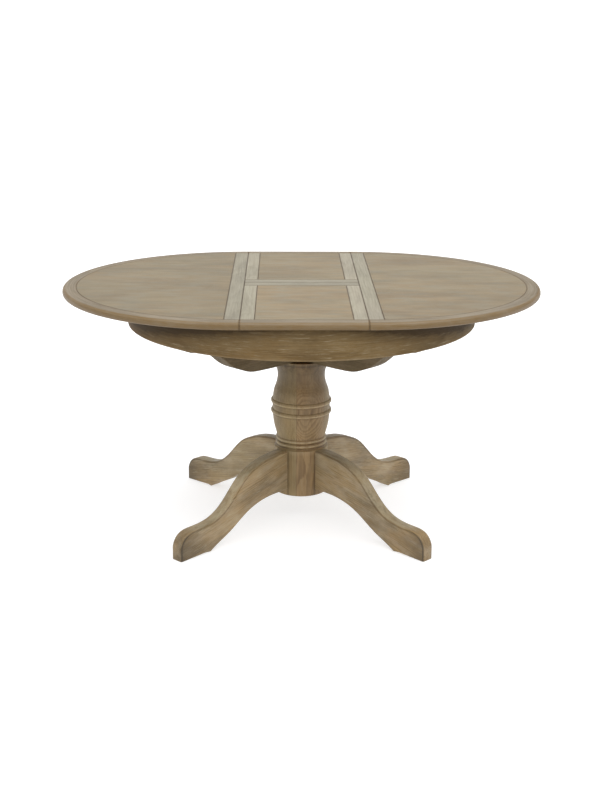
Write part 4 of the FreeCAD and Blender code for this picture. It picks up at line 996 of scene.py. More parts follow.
# The bearers' colours are darker than the other oak as a painted shade under the top.
BEARER_OAK_SHADED = LimedOak(
    "oak_base_bearer_shaded", early=(0.1, 0.073, 0.037), late=(0.05, 0.034, 0.016), stain=(0.03, 0.019, 0.009),
    lime=(0.30, 0.25, 0.17), warm=(1.0, 0.93, 0.84), planks=(Plank(FROM_EDGE, (0.02, -0.2)),), ring=0.0055,
    ring_share=0.3, streak_share=0.45, lime_share=0.3, drift_share=0.5, mottle=(0.16, 0.12, 0.075),
    mottle_share=0.4, roughness=0.6, gleam=0.15,
)
APRON_OAK = LimedOak(
    "oak_apron_bent", early=(0.16, 0.107, 0.046), late=(0.078, 0.048, 0.017), stain=(0.03, 0.018, 0.008),
    lime=(0.38, 0.31, 0.2), warm=(1.02, 0.9, 0.82), planks=(Plank(FROM_EDGE, (0.02, -0.5)),), ring=0.009,
    ring_share=0.3, streak_share=0.5, lime_share=0.65, lime_along=13.0, lime_across=190.0, drift_share=0.6,
    mottle=(0.165, 0.12, 0.062), mottle_share=0.4, cloud_share=0.35, roughness=0.6, gleam=0.1,
)
NYLON = Moulded("nylon_natural", (0.72, 0.70, 0.63), (0.60, 0.58, 0.51), 900.0, 0.42, 0.00003)
FELT = Moulded("felt_brown", (0.055, 0.042, 0.032), (0.022, 0.017, 0.013), 1800.0, 0.95, 0.0003)


# Pieces

def node_box(node: str) -> tuple[Array, Array]:
    """A CAD node's lowest and highest corners, in metres."""
    low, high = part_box(node)
    return np.array(low), np.array(high)


def rectangle(low: Sequence[float], high: Sequence[float]) -> Array:
    """A rectangle's corners, anticlockwise from the lowest."""
    return np.array([(low[0], low[1]), (high[0], low[1]), (high[0], high[1]), (low[0], high[1])])


def at_side(outline: Array, side: float) -> Array:
    """An upright outline's points (x, z) in space, at y = side."""
    return np.stack([outline[:, 0], np.full(len(outline), side), outline[:, 1]], axis=1)


def board(skin: Skin, outline: Array, low: float, high: float, cut_from: Timber, arris: float,
          groove: float) -> None:
    """A flat board: a closed convex outline carried up its sides, over an eased arris and across its top.

    The rings are the outline moved inwards by r (1 - cos a) at height high - r (1 - sin a), for a from
    0 to a quarter turn, with r the arris. The groove's stain fades over the first rings of the face.

    Args:
        skin: What the board is added to.
        outline: The outline, anticlockwise from above.
        low: The underside's height.
        high: The top's height.
        cut_from: How its grain runs.
        arris: The radius of the eased top arris.
        groove: How dark the arris is stained.
    """
    mitres = outline_mitres(outline)
    ease = arris * 0.5
    drops, shifts = quarter_round(arris, 5)
    insets = [ease, 0.0, *shifts, arris * 1.6, arris * 3.5]
    heights = [low, low + ease, *(high - drops), high, high]
    wear_and_light = [-0.3, -0.2, -groove, -groove, -groove, -groove * 0.9, -groove * 0.65, -0.15, 0.0]
    rings = np.stack([
        np.column_stack([outline + mitres * inset, np.full(len(outline), height)])
        for inset, height in zip(insets, heights)
    ])
    skin.add_tube(rings, cut_from.at(rings), np.array(wear_and_light)[:, None])


@dataclass
class RoundPath:
    """A path round part of a circle."""

    centre: tuple[float, float]
    radius: float
    start: float
    turn: float

    @property
    def length(self) -> float:
        """The arc's length."""
        return self.radius * math.radians(self.turn)

    def __call__(self, spans: Array) -> tuple[Array, Array]:
        """Plan points and outward normals.

        They are centre plus radius times (cos a, sin a), and (cos a, sin a), at a = start + s / radius.

        Args:
            spans: Distances s along the arc.

        Returns:
            The points and the normals, one to a row.
        """
        angles = math.radians(self.start) + spans / self.radius
        normals = np.stack([np.cos(angles), np.sin(angles)], axis=1)
        return np.array(self.centre) + normals * self.radius, normals


@dataclass
class StraightPath:
    """A straight path, whose outward side is to the right of it."""

    start: tuple[float, float]
    end: tuple[float, float]

    @property
    def length(self) -> float:
        """The line's length."""
        return math.dist(self.start, self.end)

    def __call__(self, spans: Array) -> tuple[Array, Array]:
        """Plan points start + s along, and outward normals to the right of the line.

        Args:
            spans: Distances s along the line.

        Returns:
            The points and the normals, one to a row.
        """
        along = (np.array(self.end) - np.array(self.start)) / self.length
        outwards = np.array([along[1], -along[0]])
        return np.array(self.start) + spans[:, None] * along, np.tile(outwards, (len(spans), 1))


def no_painted_shade(normals: Array, shapes: Array) -> Array:
    """No painted shade anywhere: zero for each of the section's points at each station."""
    return np.zeros(shapes.shape[:-1])


def swept(skin: Skin, section: Array, wear_and_light: Array, path: RoundPath | StraightPath, stations: int,
          timber: Pattern, ease: float = 0.6 * MM, end_wear: float = -0.9, dirt_and_shade: Pattern = no_painted_shade) -> None:
    """A section carried along a path, with its end arrises eased.

    A point of the section at (outwards o, up u) lies at path(s) + o normal(s) + u upwards. The first
    and last rings are the section moved inwards by the ease. The stain at an end fades over 4 mm.

    Args:
        skin: What the piece is added to.
        section: The section as (outwards, up), anticlockwise seen along the path backwards.
        wear_and_light: The wear and painted light of the section's points.
        path: Gives the plan points and outward normals at distances along it.
        stations: How many rings it has between its ends.
        timber: Gives the timber coordinates from distances along the path and the section's points.
        ease: The ease of the end arrises.
        end_wear: The wear of the ends.
        dirt_and_shade: Gives the painted shade taken off the wear, from the outward normals and the section's
            points.
    """
    ends = np.array([0.0, ease, *END_RINGS])
    between = np.linspace(2.0 * ends[-1], path.length - 2.0 * ends[-1], stations)
    spans = np.concatenate([ends, between, path.length - ends[::-1]])
    inset = np.zeros(len(spans))
    inset[[0, -1]] = ease
    stain = np.interp(np.minimum(spans, path.length - spans), ends, END_STAIN)[:, None]
    shapes = section[None] + outline_mitres(section)[None] * inset[:, None, None]
    plans, normals = path(spans)
    plan = plans[:, None] + shapes[..., :1] * normals[:, None]
    rings = np.concatenate([plan, shapes[..., 1:]], axis=2)
    grains = timber(np.repeat(spans, len(section)).reshape(len(spans), -1), shapes)
    # The given pattern's painted shade is taken off the wear here.
    worn_and_lit = (wear_and_light - dirt_and_shade(normals, shapes)) * (1.0 - stain) + end_wear * stain
    skin.add_tube(rings[:, ::-1], grains[:, ::-1], worn_and_lit[:, ::-1])


class Half(Enum):
    """The top's two sliding halves, each by its turn about the upright axis in degrees."""

    RIGHT = 0.0
    LEFT = 180.0

    @property
    def label(self) -> str:
        """The half's name in the frame."""
        return self.name.lower()

    @property
    def side(self) -> float:
        """The half's side along X, 1 or -1."""
        return 1.0 if self is Half.RIGHT else -1.0


class LeafPart(Enum):
    """The leaf's two parts, each by its side along Y."""

    REAR = 1.0
    FRONT = -1.0

    @property
    def body(self) -> str:
        """The part's CAD body."""
        return f"leaf_{self.name.lower()}"


class Grain(Enum):
    """Which way a flat board's grain runs, as its along and across directions."""

    LENGTHWAYS = ((1.0, 0.0, 0.0), (0.0, 1.0, 0.0))
    CROSSWAYS = ((0.0, 1.0, 0.0), (1.0, 0.0, 0.0))


@dataclass
class TopBoards:
    """Everything of the top that shows: two sliding halves and the leaf in two parts."""

    arris: float = 1.4 * MM
    edge_round: float = 11.0 * MM
    edge_under_round: float = 9.0 * MM
    groove_darkness: float = 1.0
    joint_width: float = 1.5 * MM
    edge_wear: float = 0.05
    edge_stain: float = 0.9
    face_drop: float = 0.4 * MM
    face_fade: float = 0.25 * MM
    face_reach: float = 12.0 * MM
    face_inner_fade: float = 1.0 * MM
    # The pale crown on the upper round is rubbed wear and a painted highlight.
    crown_wear_and_light: float = 0.3
    crown_drop: float = 4.5 * MM
    crown_height: float = 1.2 * MM
    crown_inset: float = 2.5 * MM
    crown_width: float = 2.0 * MM
    # The foot of the edge is darkened as a painted shade.
    foot_painted_shade: float = 0.6
    foot_height: float = 2.0 * MM
    seam_wear: float = -1.5
    seam: float = field(init=False)
    low: float = field(init=False)
    high: float = field(init=False)
    radius: float = field(init=False)
    inner: float = field(init=False)
    joint_angle: float = field(init=False)
    panel_oak: bpy.types.Material = field(init=False)
    trim_oak: bpy.types.Material = field(init=False)
    rim_oak: bpy.types.Material = field(init=False)

    def __post_init__(self) -> None:
        """Reads the top's place from the frame, and makes its finishes.

        The stile's outer side meets the rim at the angle whose cosine is its width over the inner radius.
        """
        low, high = node_box("right_rim")
        self.seam = float(low[0])
        self.low = float(low[2])
        self.high = float(high[2])
        self.radius = float(min(high[1], high[0] - low[0]))
        self.inner = float(node_box("right_field")[1][0]) - self.seam
        stile_width = float(node_box("right_stile")[1][0]) - self.seam
        self.joint_angle = math.degrees(math.acos(stile_width / self.inner))
        self.panel_oak = TOP_FIELD.material()
        self.trim_oak = TOP_TRIM.material()
        self.rim_oak = TOP_RIM.material()

    def edge_section(self) -> tuple[Array, Array]:
        """The moulded edge's section, from its inner joint outwards, and its wear and painted light.

        Wear is a sum of bells: a dark one at the inner joint, a painted shade at the foot of the edge, and a
        pale one on the upper round that is rubbed wear and a painted highlight. The face from there down is
        stained, as far as two soft steps let it.

        Returns:
            The section's points as (outwards, up), and the wear and painted light of each.
        """
        inner = self.inner - self.radius
        corners = [(inner, self.low), (0.0, self.low), (0.0, self.high), (inner, self.high)]
        radii = [0.0, self.edge_under_round, self.edge_round, self.arris]
        section = refined(rounded_section(corners, radii, 8), 2.0 * MM)
        out, up = section[:, 0], section[:, 1] - self.low
        depth = self.high - self.low
        joint = bell(out, inner, self.joint_width)
        face = soft_step(up, depth - self.face_drop, self.face_fade)
        face = face * soft_step(-out, self.face_reach, self.face_inner_fade)
        crown = bell(up, depth - self.crown_drop, self.crown_height)
        crown = crown * bell(out, -self.crown_inset, self.crown_width)
        foot = bell(up, 0.0, self.foot_height)
        wear_and_light = self.edge_wear - self.groove_darkness * joint - self.edge_stain * face
        wear_and_light = wear_and_light + self.crown_wear_and_light * crown - self.foot_painted_shade * foot
        return section, np.clip(wear_and_light, -2.0, 1.0)

    def rail_grain(self, start: float) -> Pattern:
        """The grain of a moulded rail, which follows it.

        Args:
            start: Where along the tree the rail was cut.

        Returns:
            What gives the timber coordinates along the rail.
        """
        def timber(spans: Array, shapes: Array) -> Array:
            """Distance along the rail, outwards, and up from 20 mm under the face."""
            return np.stack([spans, shapes[..., 0], shapes[..., 1] - self.high], axis=-1) + (start, 0.0, 0.02)

        return timber

    def add_board(self, skin: Skin, outline: Array, grain: Grain, cut: Sequence[float]) -> None:
        """Adds one flat board as deep as the top.

        Args:
            skin: The piece that it belongs to.
            outline: Its outline, anticlockwise from above.
            grain: Which way its grain runs.
            cut: Where in the log its face lay, as (along, across, through).
        """
        cut_from = Timber(*grain.value, (cut[0], cut[1], cut[2] - self.high))
        board(skin, outline, self.low, self.high, cut_from, self.arris, self.groove_darkness)

    def rim(self, half: Half) -> None:
        """The curved rim of one half, its grain running round it.

        Args:
            half: Which half.
        """
        section, wear_and_light = self.edge_section()
        path = RoundPath((self.seam * half.side, 0.0), self.radius, half.value - 90.0, 180.0)
        skin = Skin(f"top_{half.label}_rim")
        swept(skin, section, wear_and_light, path, 121, self.rail_grain(3.1 * half.side), end_wear=self.seam_wear)
        skin.build(self.rim_oak, f"{half.label}_half", "oak_trim", [f"{half.label}_rim"])

    def stile(self, half: Half) -> None:
        """The straight stile at the seam, between the rim's ends.

        Args:
            half: Which half.
        """
        upper = arc_points((self.seam, 0.0), self.inner, self.joint_angle, 90.0, 9)
        lower = arc_points((self.seam, 0.0), self.inner, -90.0, -self.joint_angle, 9)
        outline = np.concatenate([upper, lower]) @ spin_about_z(half.value)[:2, :2]
        skin = Skin(f"top_{half.label}_stile", tone=0.0 if half is Half.RIGHT else -0.07)
        self.add_board(skin, outline, Grain.CROSSWAYS, (1.7 + half.value, 0.013, 0.03))
        skin.build(self.trim_oak, f"{half.label}_half", "oak_trim", [f"{half.label}_stile"])

    def panel(self, half: Half) -> None:
        """The D-shaped field, veneered with its grain along the table.

        Args:
            half: Which half.
        """
        outline = arc_points((self.seam, 0.0), self.inner, -self.joint_angle, self.joint_angle, 121)
        outline = outline @ spin_about_z(half.value)[:2, :2]
        skin = Skin(f"top_{half.label}_field", tone=0.015 if half is Half.RIGHT else -0.04)
        self.add_board(skin, outline, Grain.LENGTHWAYS, (5.0 + half.value, 0.07, 0.5))
        skin.build(self.panel_oak, f"{half.label}_half", "oak_top", [f"{half.label}_field"])

    def leaf_boards(self, part: LeafPart) -> None:
        """The flat boards of one part of the leaf: its field, its two stiles and its middle rail.

        Args:
            part: Which part.
        """
        body, side = part.body, part.value
        low, high = node_box(f"{body}_field")
        skin = Skin(f"{body}_panel", tone=0.03 if part is LeafPart.REAR else 0.1)
        self.add_board(skin, rectangle(low, high), Grain.LENGTHWAYS, (9.0 * side, 0.31, 0.5))
        skin.build(self.panel_oak, body, "oak_top", [f"{body}_field"])

        outer_low, outer_high = node_box(f"{body}_stiles")
        left = rectangle(outer_low, (low[0], outer_high[1]))
        right = rectangle((high[0], outer_low[1]), outer_high)
        skin = Skin(f"{body}_stile_pair", tone=0.1)
        self.add_board(skin, left, Grain.CROSSWAYS, (9.0, 0.004 * side, 0.04))
        self.add_board(skin, right, Grain.CROSSWAYS, (15.0, 0.004 * side, 0.04))
        skin.build(self.trim_oak, body, "oak_trim", [f"{body}_stiles"])

        skin = Skin(f"{body}_middle_rail", tone=-0.07)
        outline = rectangle(*node_box(f"{body}_mid_rail"))
        self.add_board(skin, outline, Grain.LENGTHWAYS, (2.0 * side, 0.01, 0.03))
        skin.build(self.trim_oak, body, "oak_trim", [f"{body}_mid_rail"])

    def leaf_edge(self, part: LeafPart) -> None:
        """The moulded outer rail of one part of the leaf.

        Args:
            part: Which part.
        """
        low, high = node_box(f"{part.body}_outer_rail")
        section, wear_and_light = self.edge_section()
        if part is LeafPart.FRONT:
            path = StraightPath((low[0], low[1]), (high[0], low[1]))
        else:
            path = StraightPath((high[0], high[1]), (low[0], high[1]))
        skin = Skin(f"{part.body}_edge_rail")
        swept(skin, section, wear_and_light, path, 9, self.rail_grain(7.7 * part.value), end_wear=self.seam_wear)
        skin.build(self.rim_oak, part.body, "oak_trim", [f"{part.body}_outer_rail"])

    def build(self) -> None:
        """Builds both halves and both parts of the leaf."""
        for half in Half:
            self.rim(half)
            self.stile(half)
            self.panel(half)
        for part in LeafPart:
            self.leaf_boards(part)
            self.leaf_edge(part)


@dataclass
class Apron:
    """The round apron under the top, bent in two halves."""

    thickness: float = 22.0 * MM
    ease: float = 3.0 * MM
    fine: float = 1.0 * MM
    foot_wear: float = 0.2
    foot_rise: float = 1.5 * MM
    foot_width: float = 2.5 * MM
    # The next fields paint the top's shadow on the apron: a dark band under its head, and a soft step that
    # reaches lower towards the sides.
    head_painted_shade: float = 0.4
    head_depths: tuple[float, float] = (6.0 * MM, 25.0 * MM)
    painted_shade_edge: float = 114.0 * MM
    painted_shade_slope: float = 110.0 * MM
    painted_shade_lowest: float = 20.0 * MM
    painted_shade_blur: float = 9.0 * MM
    painted_shade_share: float = 1.4

    def build(self) -> None:
        """Builds the two halves, each a section carried round half a circle.

        Painted shade under the top is a sum of exp(-d / width) of the depth d below it, and the foot's arris
        is rubbed pale as a bell.
        """
        low, high = node_box("apron_rear")
        corners = [(-self.thickness, low[2]), (0.0, low[2]), (0.0, high[2]), (-self.thickness, high[2])]
        radii = [self.fine, self.ease, self.fine, self.fine]
        section = refined(rounded_section(corners, radii, 5), 4.0 * MM)
        foot = bell(section[:, 1], low[2] + self.foot_rise, self.foot_width)
        foot = foot * (section[:, 0] > -self.ease * 1.5)
        # Painted shade under the top, darkest at the apron's head.
        head = sum(np.exp((section[:, 1] - high[2]) / depth) for depth in self.head_depths)
        wear_and_light = self.foot_wear * foot - self.head_painted_shade * head
        finish = APRON_OAK.material()

        def dirt_and_shade(normals: Array, shapes: Array) -> Array:
            """The top's painted shadow: a soft step that starts lower where the top reaches out further.

            Args:
                normals: The outward normals, one to a station.
                shapes: The section's points at each station.

            Returns:
                The painted shade of each point.
            """
            edge = self.painted_shade_edge - self.painted_shade_slope * np.abs(normals[:, :1])
            lower = np.maximum(edge, self.painted_shade_lowest) - (shapes[..., 1] - low[2])
            return self.painted_shade_share * soft_step(lower, 0.0, self.painted_shade_blur)

        for name, start, cut in (("rear", 0.0, 0.0), ("front", 180.0, 4.5)):

            def timber(spans: Array, shapes: Array) -> Array:
                """The grain follows the bend: distance along it, up from the foot, and outwards."""
                return np.stack([spans + cut, shapes[..., 1] - low[2] + 0.03, shapes[..., 0]], axis=-1)

            skin = Skin(f"apron_{name}_half")
            path = RoundPath((0.0, 0.0), float(high[0]), start, 180.0)
            swept(skin, section, wear_and_light, path, 145, timber, ease=0.3 * MM, dirt_and_shade=dirt_and_shade)
            skin.build(finish, "base", "oak_apron", [f"apron_{name}"])


@dataclass
class Column:
    """The turned column: vase, two beads, a ringed collar and the block that takes the legs."""

    belly: float = 90.6 * MM
    belly_height: float = 400.3 * MM
    bead: float = 95.7 * MM
    bead_height: float = 15.0 * MM
    bead_spacing: float = 32.5 * MM
    rim: float = 86.0 * MM
    rim_height: float = 10.0 * MM
    fine: float = 1.0 * MM
    waist_height: float = 280.0 * MM
    collar: float = 79.8 * MM
    collar_foot: float = 80.8 * MM
    collar_height: float = 13.2 * MM
    collar_step: float = 1.2 * MM
    hollow_share: float = 0.33
    block: float = 85.0 * MM
    block_top: float = 244.0 * MM
    block_ease: float = 3.0 * MM
    bore: float = 34.0 * MM
    bore_top: float = 262.0 * MM
    around: int = 180
    # The next three paint shade in the block's corners beside the legs.
    leg_span: float = 15.5
    corner_width: float = 2.6
    corner_painted_shade: float = 0.7
    vase_shares: tuple[tuple[float, float], ...] = (
        (1.0, 0.0), (0.991, 0.042), (0.974, 0.127), (0.954, 0.213), (0.92, 0.3), (0.88, 0.385),
        (0.848, 0.471), (0.822, 0.624), (0.831, 0.727), (0.876, 0.86), (0.962, 1.0),
    )
    taper_shares: tuple[tuple[float, float], ...] = (
        (1.0, 0.0), (0.983, 0.184), (0.967, 0.361), (0.94, 0.539), (0.904, 0.716), (0.872, 0.853),
        (0.855, 0.947), (0.852, 1.0),
    )

    @staticmethod
    def bead_arc(start: Array, end: Array, crest: float, steps: int) -> Array:
        """A bead between two points of the profile, as the arc of the circle that reaches the crest.

        With half the chord c and the rise h above it, the circle's radius is (c c + h h) / 2 h, and its
        middle lies on the chord's normal, that radius behind the crest.

        Args:
            start: The upper end, as (radius, height).
            end: The lower end.
            crest: The radius that the bead reaches.
            steps: How many points the arc has.

        Returns:
            The arc's points after its upper end, down to the lower.
        """
        middle = (start + end) / 2.0
        chord = np.linalg.norm(end - start) / 2.0
        rise = crest - middle[0]
        radius = (chord ** 2 + rise ** 2) / (2.0 * rise)
        centre = np.array([crest - radius, middle[1]])
        first = math.atan2(start[1] - centre[1], start[0] - centre[0])
        last = math.atan2(end[1] - centre[1], end[0] - centre[0])
        angles = np.linspace(first, last, steps)
        arc = centre + radius * np.stack([np.cos(angles), np.sin(angles)], axis=1)
        arc[-1] = end
        return arc[1:]

    def profile(self, low: float, high: float) -> tuple[Array, Array]:
        """The turned profile from the top rim down to the bore, and its wear and painted light.

        Vase and taper are splines through shares of the belly's radius and of their own heights, and beads
        are arcs. Wear, with painted highlights and painted shade, is a sum of bells strength exp(-((z -
        height) / width)^2).

        Args:
            low: The column's foot.
            high: Its top.

        Returns:
            The profile's points as (radius, height), and the wear and painted light of each.
        """
        rim_foot = high - self.rim_height
        bead_top = self.belly_height
        bead_foot = bead_top - self.bead_height
        second_top = bead_top - self.bead_spacing
        second_foot = second_top - self.bead_height
        rise = rim_foot - bead_top
        fall = second_foot - self.waist_height
        vase = np.array([(self.belly * r, bead_top + rise * z) for r, z in self.vase_shares])[::-1]
        taper = np.array([(self.belly * r, second_foot - fall * z) for r, z in self.taper_shares])
        neck = taper[-1, 0]
        ring_top = self.waist_height - self.collar_step
        ring_foot = ring_top - self.collar_height
        low_ring_top = ring_foot - self.collar_step
        low_ring_foot = low_ring_top - self.collar_height
        foot = np.array((neck + self.collar_step, low_ring_foot))
        shoulder = np.array((self.block, self.block_top))
        hollow = np.array((foot[0] + (self.block - foot[0]) * self.hollow_share,
                           (foot[1] + self.block_top) / 2.0))

        bead_ends = np.array([(self.belly, height) for height in (bead_foot, second_top, second_foot)])
        ring_ends = np.array([(neck, ring_top), (neck, ring_foot),
                              (neck + self.collar_step / 2.0, low_ring_top)])
        block_side = np.array([(self.block, self.block_top - self.fine), (self.block, low + self.block_ease)])
        head = [(0.0, high), (self.rim - self.fine, high), (self.rim, high - self.fine)]
        underside = [(self.block - self.block_ease, low), (self.bore, low), (self.bore, self.bore_top),
                     (0.0, self.bore_top)]
        # dark paints shade in the creases between the turned parts; pale is lime with a painted highlight.
        bare, dark, pale = 0.0, -0.1, 0.85
        parts: tuple[tuple[Array, float], ...] = (
            (np.array(head), bare),
            (np.array([(self.rim, rim_foot)]), dark),
            (smooth_through(vase, 60)[1:-1], bare),
            (vase[-1:], bare),
            (self.bead_arc(vase[-1], bead_ends[0], self.bead, 25), bare),
            (even_steps(bead_ends[:2], 8)[1:], dark),
            (self.bead_arc(bead_ends[1], bead_ends[2], self.bead, 25), bare),
            (smooth_through(taper, 60)[1:], bare),
            (ring_ends[:1], dark),
            (self.bead_arc(ring_ends[0], ring_ends[1], self.collar, 21), bare),
            (ring_ends[2:], dark),
            (self.bead_arc(ring_ends[2], foot, self.collar_foot, 21), bare),
            (smooth_through(np.stack([foot, hollow, shoulder]), 9)[1:], bare),
            (even_steps(block_side, 12), bare),
            (np.array(underside), bare),
        )
        profile = np.concatenate([points for points, _ in parts])
        wear_and_light = np.concatenate([np.full(len(points), value) for points, value in parts])

        # Each line of lime, painted highlight or painted shade on the turning: its height, strength and
        # width. The pale lines on the beads and the collar rings are lime and a painted highlight. Those on
        # the block's shoulder and on the beads' upper halves are painted light. The dark lines under the rim,
        # the beads and at the rings, and the wide one down from the top, are painted shade.
        lines = (
            ((bead_top + bead_foot) / 2.0 - 2.2 * MM, pale, 1.4 * MM),
            ((second_top + second_foot) / 2.0 - 2.2 * MM, pale, 1.4 * MM),
            ((ring_top + ring_foot) / 2.0, pale, 1.8 * MM),
            ((low_ring_top + low_ring_foot) / 2.0, pale, 1.8 * MM),
            (self.block_top, 0.4, 1.5 * MM),
            (high - 3.0 * MM, 0.45, 3.0 * MM),
            (bead_top - 2.0 * MM, 0.4, 3.5 * MM),
            (second_top - 2.0 * MM, 0.4, 3.5 * MM),
            (bead_foot - 0.5 * MM, -0.4, 1.6 * MM),
            (second_foot - 0.5 * MM, -0.4, 1.6 * MM),
            (high, -0.85, 85.0 * MM),
            (ring_top, -0.25, 1.5 * MM),
            (ring_foot, -0.6, 2.2 * MM),
            (low_ring_foot, -0.6, 2.5 * MM),
            (rim_foot, -0.1, 3.0 * MM),
        )
        for height, strength, width in lines:
            wear_and_light = wear_and_light + strength * bell(profile[:, 1], height, width)
        return profile, np.clip(wear_and_light, -1.0, 1.0)

    def build(self) -> None:
        """Turns the profile about the axis: a point at (r, z) becomes (r cos a, r sin a, z).

        The block gets painted shade where its sides meet a leg's, as a bell of the angle from that corner.
        """
        low, high = node_box("column")
        profile, wear_and_light = self.profile(float(low[2]), float(high[2]))
        body = profile[1:-1]
        angles = np.radians(np.arange(self.around) * 360.0 / self.around)
        ring = np.stack([np.cos(angles), np.sin(angles)], axis=1)
        rings = np.concatenate([
            body[:, None, :1] * ring[None], np.broadcast_to(body[:, None, 1:], (len(body), self.around, 1)),
        ], axis=2)
        # Painted shade in the corners beside the legs.
        beside_leg = np.abs((np.degrees(angles) % 90.0) - 45.0)
        corner = bell(beside_leg, self.leg_span, self.corner_width) * (body[:, 1:] < self.block_top)
        worn_and_lit = np.clip(wear_and_light[1:-1, None] - self.corner_painted_shade * corner, -1.0, 1.0)
        cut_from = Timber((0.0, 0.0, 1.0), (1.0, 0.0, 0.0))
        skin = Skin("turned_column")
        skin.add_tube(rings[::-1], cut_from.at(rings[::-1]), worn_and_lit[::-1])
        skin.build(COLUMN_OAK.material(), "base", "oak_base", ["column"], crease=40.0)


@dataclass
class Legs:
    """Four sawn legs of S outline, with their upper arrises rounded."""

    reach: float = 528.0 * MM
    toe_stain: float = 0.95
    toe_length: float = 75.0 * MM
    height: float = 244.0 * MM
    sole: float = 2.0 * MM
    thickness: float = 41.0 * MM
    top_round: float = 5.0 * MM
    side_band: float = 2.5 * MM
    ease: float = 1.5 * MM
    column: float = 85.0 * MM
    cope: float = 4.0 * MM
    chord_fall: float = 0.42
    stations: int = 96
    under_pace: float = 0.93
    # From the arris to the middle of the top: stain on the arris, then lime with painted light on the upward
    # face, which the table top shades.
    round_wear_and_light: tuple[float, ...] = (-0.2, -0.55, -0.45, 0.0, 0.3, 0.5, 0.55)
    crown_wear_and_light: float = 0.6
    side_wear: float = 0.15
    under_wear: float = 0.1
    top_shares: tuple[tuple[float, float], ...] = (
        (0.04, 1.0), (0.132, 0.985), (0.207, 0.963), (0.28, 0.924), (0.376, 0.841), (0.421, 0.777),
        (0.469, 0.69), (0.513, 0.605), (0.558, 0.526), (0.604, 0.46), (0.661, 0.404), (0.718, 0.372),
        (0.775, 0.356), (0.831, 0.35), (0.877, 0.346), (0.911, 0.337), (0.945, 0.313), (0.973, 0.27),
        (0.991, 0.216), (1.0, 0.152),
    )
    underside_shares: tuple[tuple[float, float], ...] = (
        (0.05, 0.472), (0.148, 0.468), (0.239, 0.446), (0.319, 0.406), (0.406, 0.335), (0.486, 0.245),
        (0.577, 0.148), (0.647, 0.087), (0.69, 0.048), (0.716, 0.021), (0.735, 0.0),
    )

    def outline(self, shares: Sequence[Sequence[float]]) -> Array:
        """A smooth run of the outline, from inside the column outwards and down to the sole.

        Args:
            shares: Its points, as shares of the reach beyond the column and of the height.

        Returns:
            Its points as (outwards, up).
        """
        run = self.reach - self.column
        rise = self.height - self.sole
        points = np.array([(self.column + run * x, self.sole + rise * z) for x, z in shares])
        ends_on_sole = shares[-1][1] == 0.0
        last_along = points[-1] - points[-2] if ends_on_sole else (0.0, -1.0)
        curve = smooth_through(points, 240, (1.0, 0.0), last_along)
        start = np.array([[self.column - self.cope, curve[0, 1]]])
        toe = np.array([[self.reach, self.sole]])
        return np.concatenate([start, curve] if ends_on_sole else [start, curve, toe])

    def rings(self) -> tuple[Array, Array]:
        """The leg along +X as rings, each from the underside round the top and back.

        At a station the ring joins a point T of the upper outline to a point U of the lower one.
        With inward normals n at T and m at U, its upper corners are T + r (1 - sin a) n at
        y = h - r (1 - cos a), and its lower ones the same with U, m and the ease.

        Returns:
            The rings as (station, place on the ring, xyz), and the wear and painted light of their points.
        """
        shares = np.linspace(0.0, 1.0, self.stations)
        upper = even_steps(self.outline(self.top_shares), self.stations)
        lower = even_steps(self.outline(self.underside_shares), self.stations, shares ** self.under_pace)
        top = (upper, -left_normals(upper))
        under = (lower, left_normals(lower))
        half = self.thickness / 2.0
        insets, shifts = quarter_round(self.top_round, len(self.round_wear_and_light))
        crown = list(zip(insets, half - shifts, self.round_wear_and_light))
        insets, shifts = quarter_round(self.ease, 3)
        foot = list(zip(insets, half - shifts, [self.under_wear] * len(insets)))
        top_band = (self.top_round + self.side_band, half, self.side_wear)
        under_band = (self.ease * 3.0, half, self.under_wear)
        near = [(top, place) for place in [*crown[::-1], top_band]]
        near += [(under, place) for place in [under_band, *foot]]
        far = [(edge, (inset, -side, worn_and_lit)) for edge, (inset, side, worn_and_lit) in near[::-1]]
        past_crown = len(near) - len(crown)
        middle = (top, (0.0, 0.0, self.crown_wear_and_light))
        places = [*far[past_crown:], middle, *near, *far[:past_crown]]
        rings = np.stack([at_side(base + normal * inset, side)
                          for (base, normal), (inset, side, _) in places[::-1]], axis=1)
        wear_and_light = np.array([worn_and_lit for _, (_, _, worn_and_lit) in places[::-1]])
        at_toe = np.clip((rings[..., 0] - self.reach + self.toe_length) / self.toe_length, 0.0, 1.0)
        return rings, wear_and_light[None] - self.toe_stain * at_toe

    def build(self) -> None:
        """Builds the four legs, each turned about the column's axis and cut from its own place in the log."""
        rings, wear_and_light = self.rings()
        finish = LEG_OAK.material()
        chord = (self.reach - self.column, 0.0, -self.chord_fall * self.height)
        for index, (name, turn, tone) in enumerate((
            ("rear_right", 45.0, 0.16), ("rear_left", 135.0, 0.26),
            ("front_left", 225.0, 0.08), ("front_right", 315.0, 0.06),
        )):
            timber = Timber(chord, (-chord[2], 0.0, chord[0]), (index * 2.3, 0.05 * index, 0.013 * index))
            skin = Skin(f"leg_{name}_sawn", tone=tone)
            skin.add_tube(rings @ spin_about_z(turn), timber.at(rings), wear_and_light)
            skin.build(finish, "base", "oak_base", [f"leg_{name}"], crease=40.0)


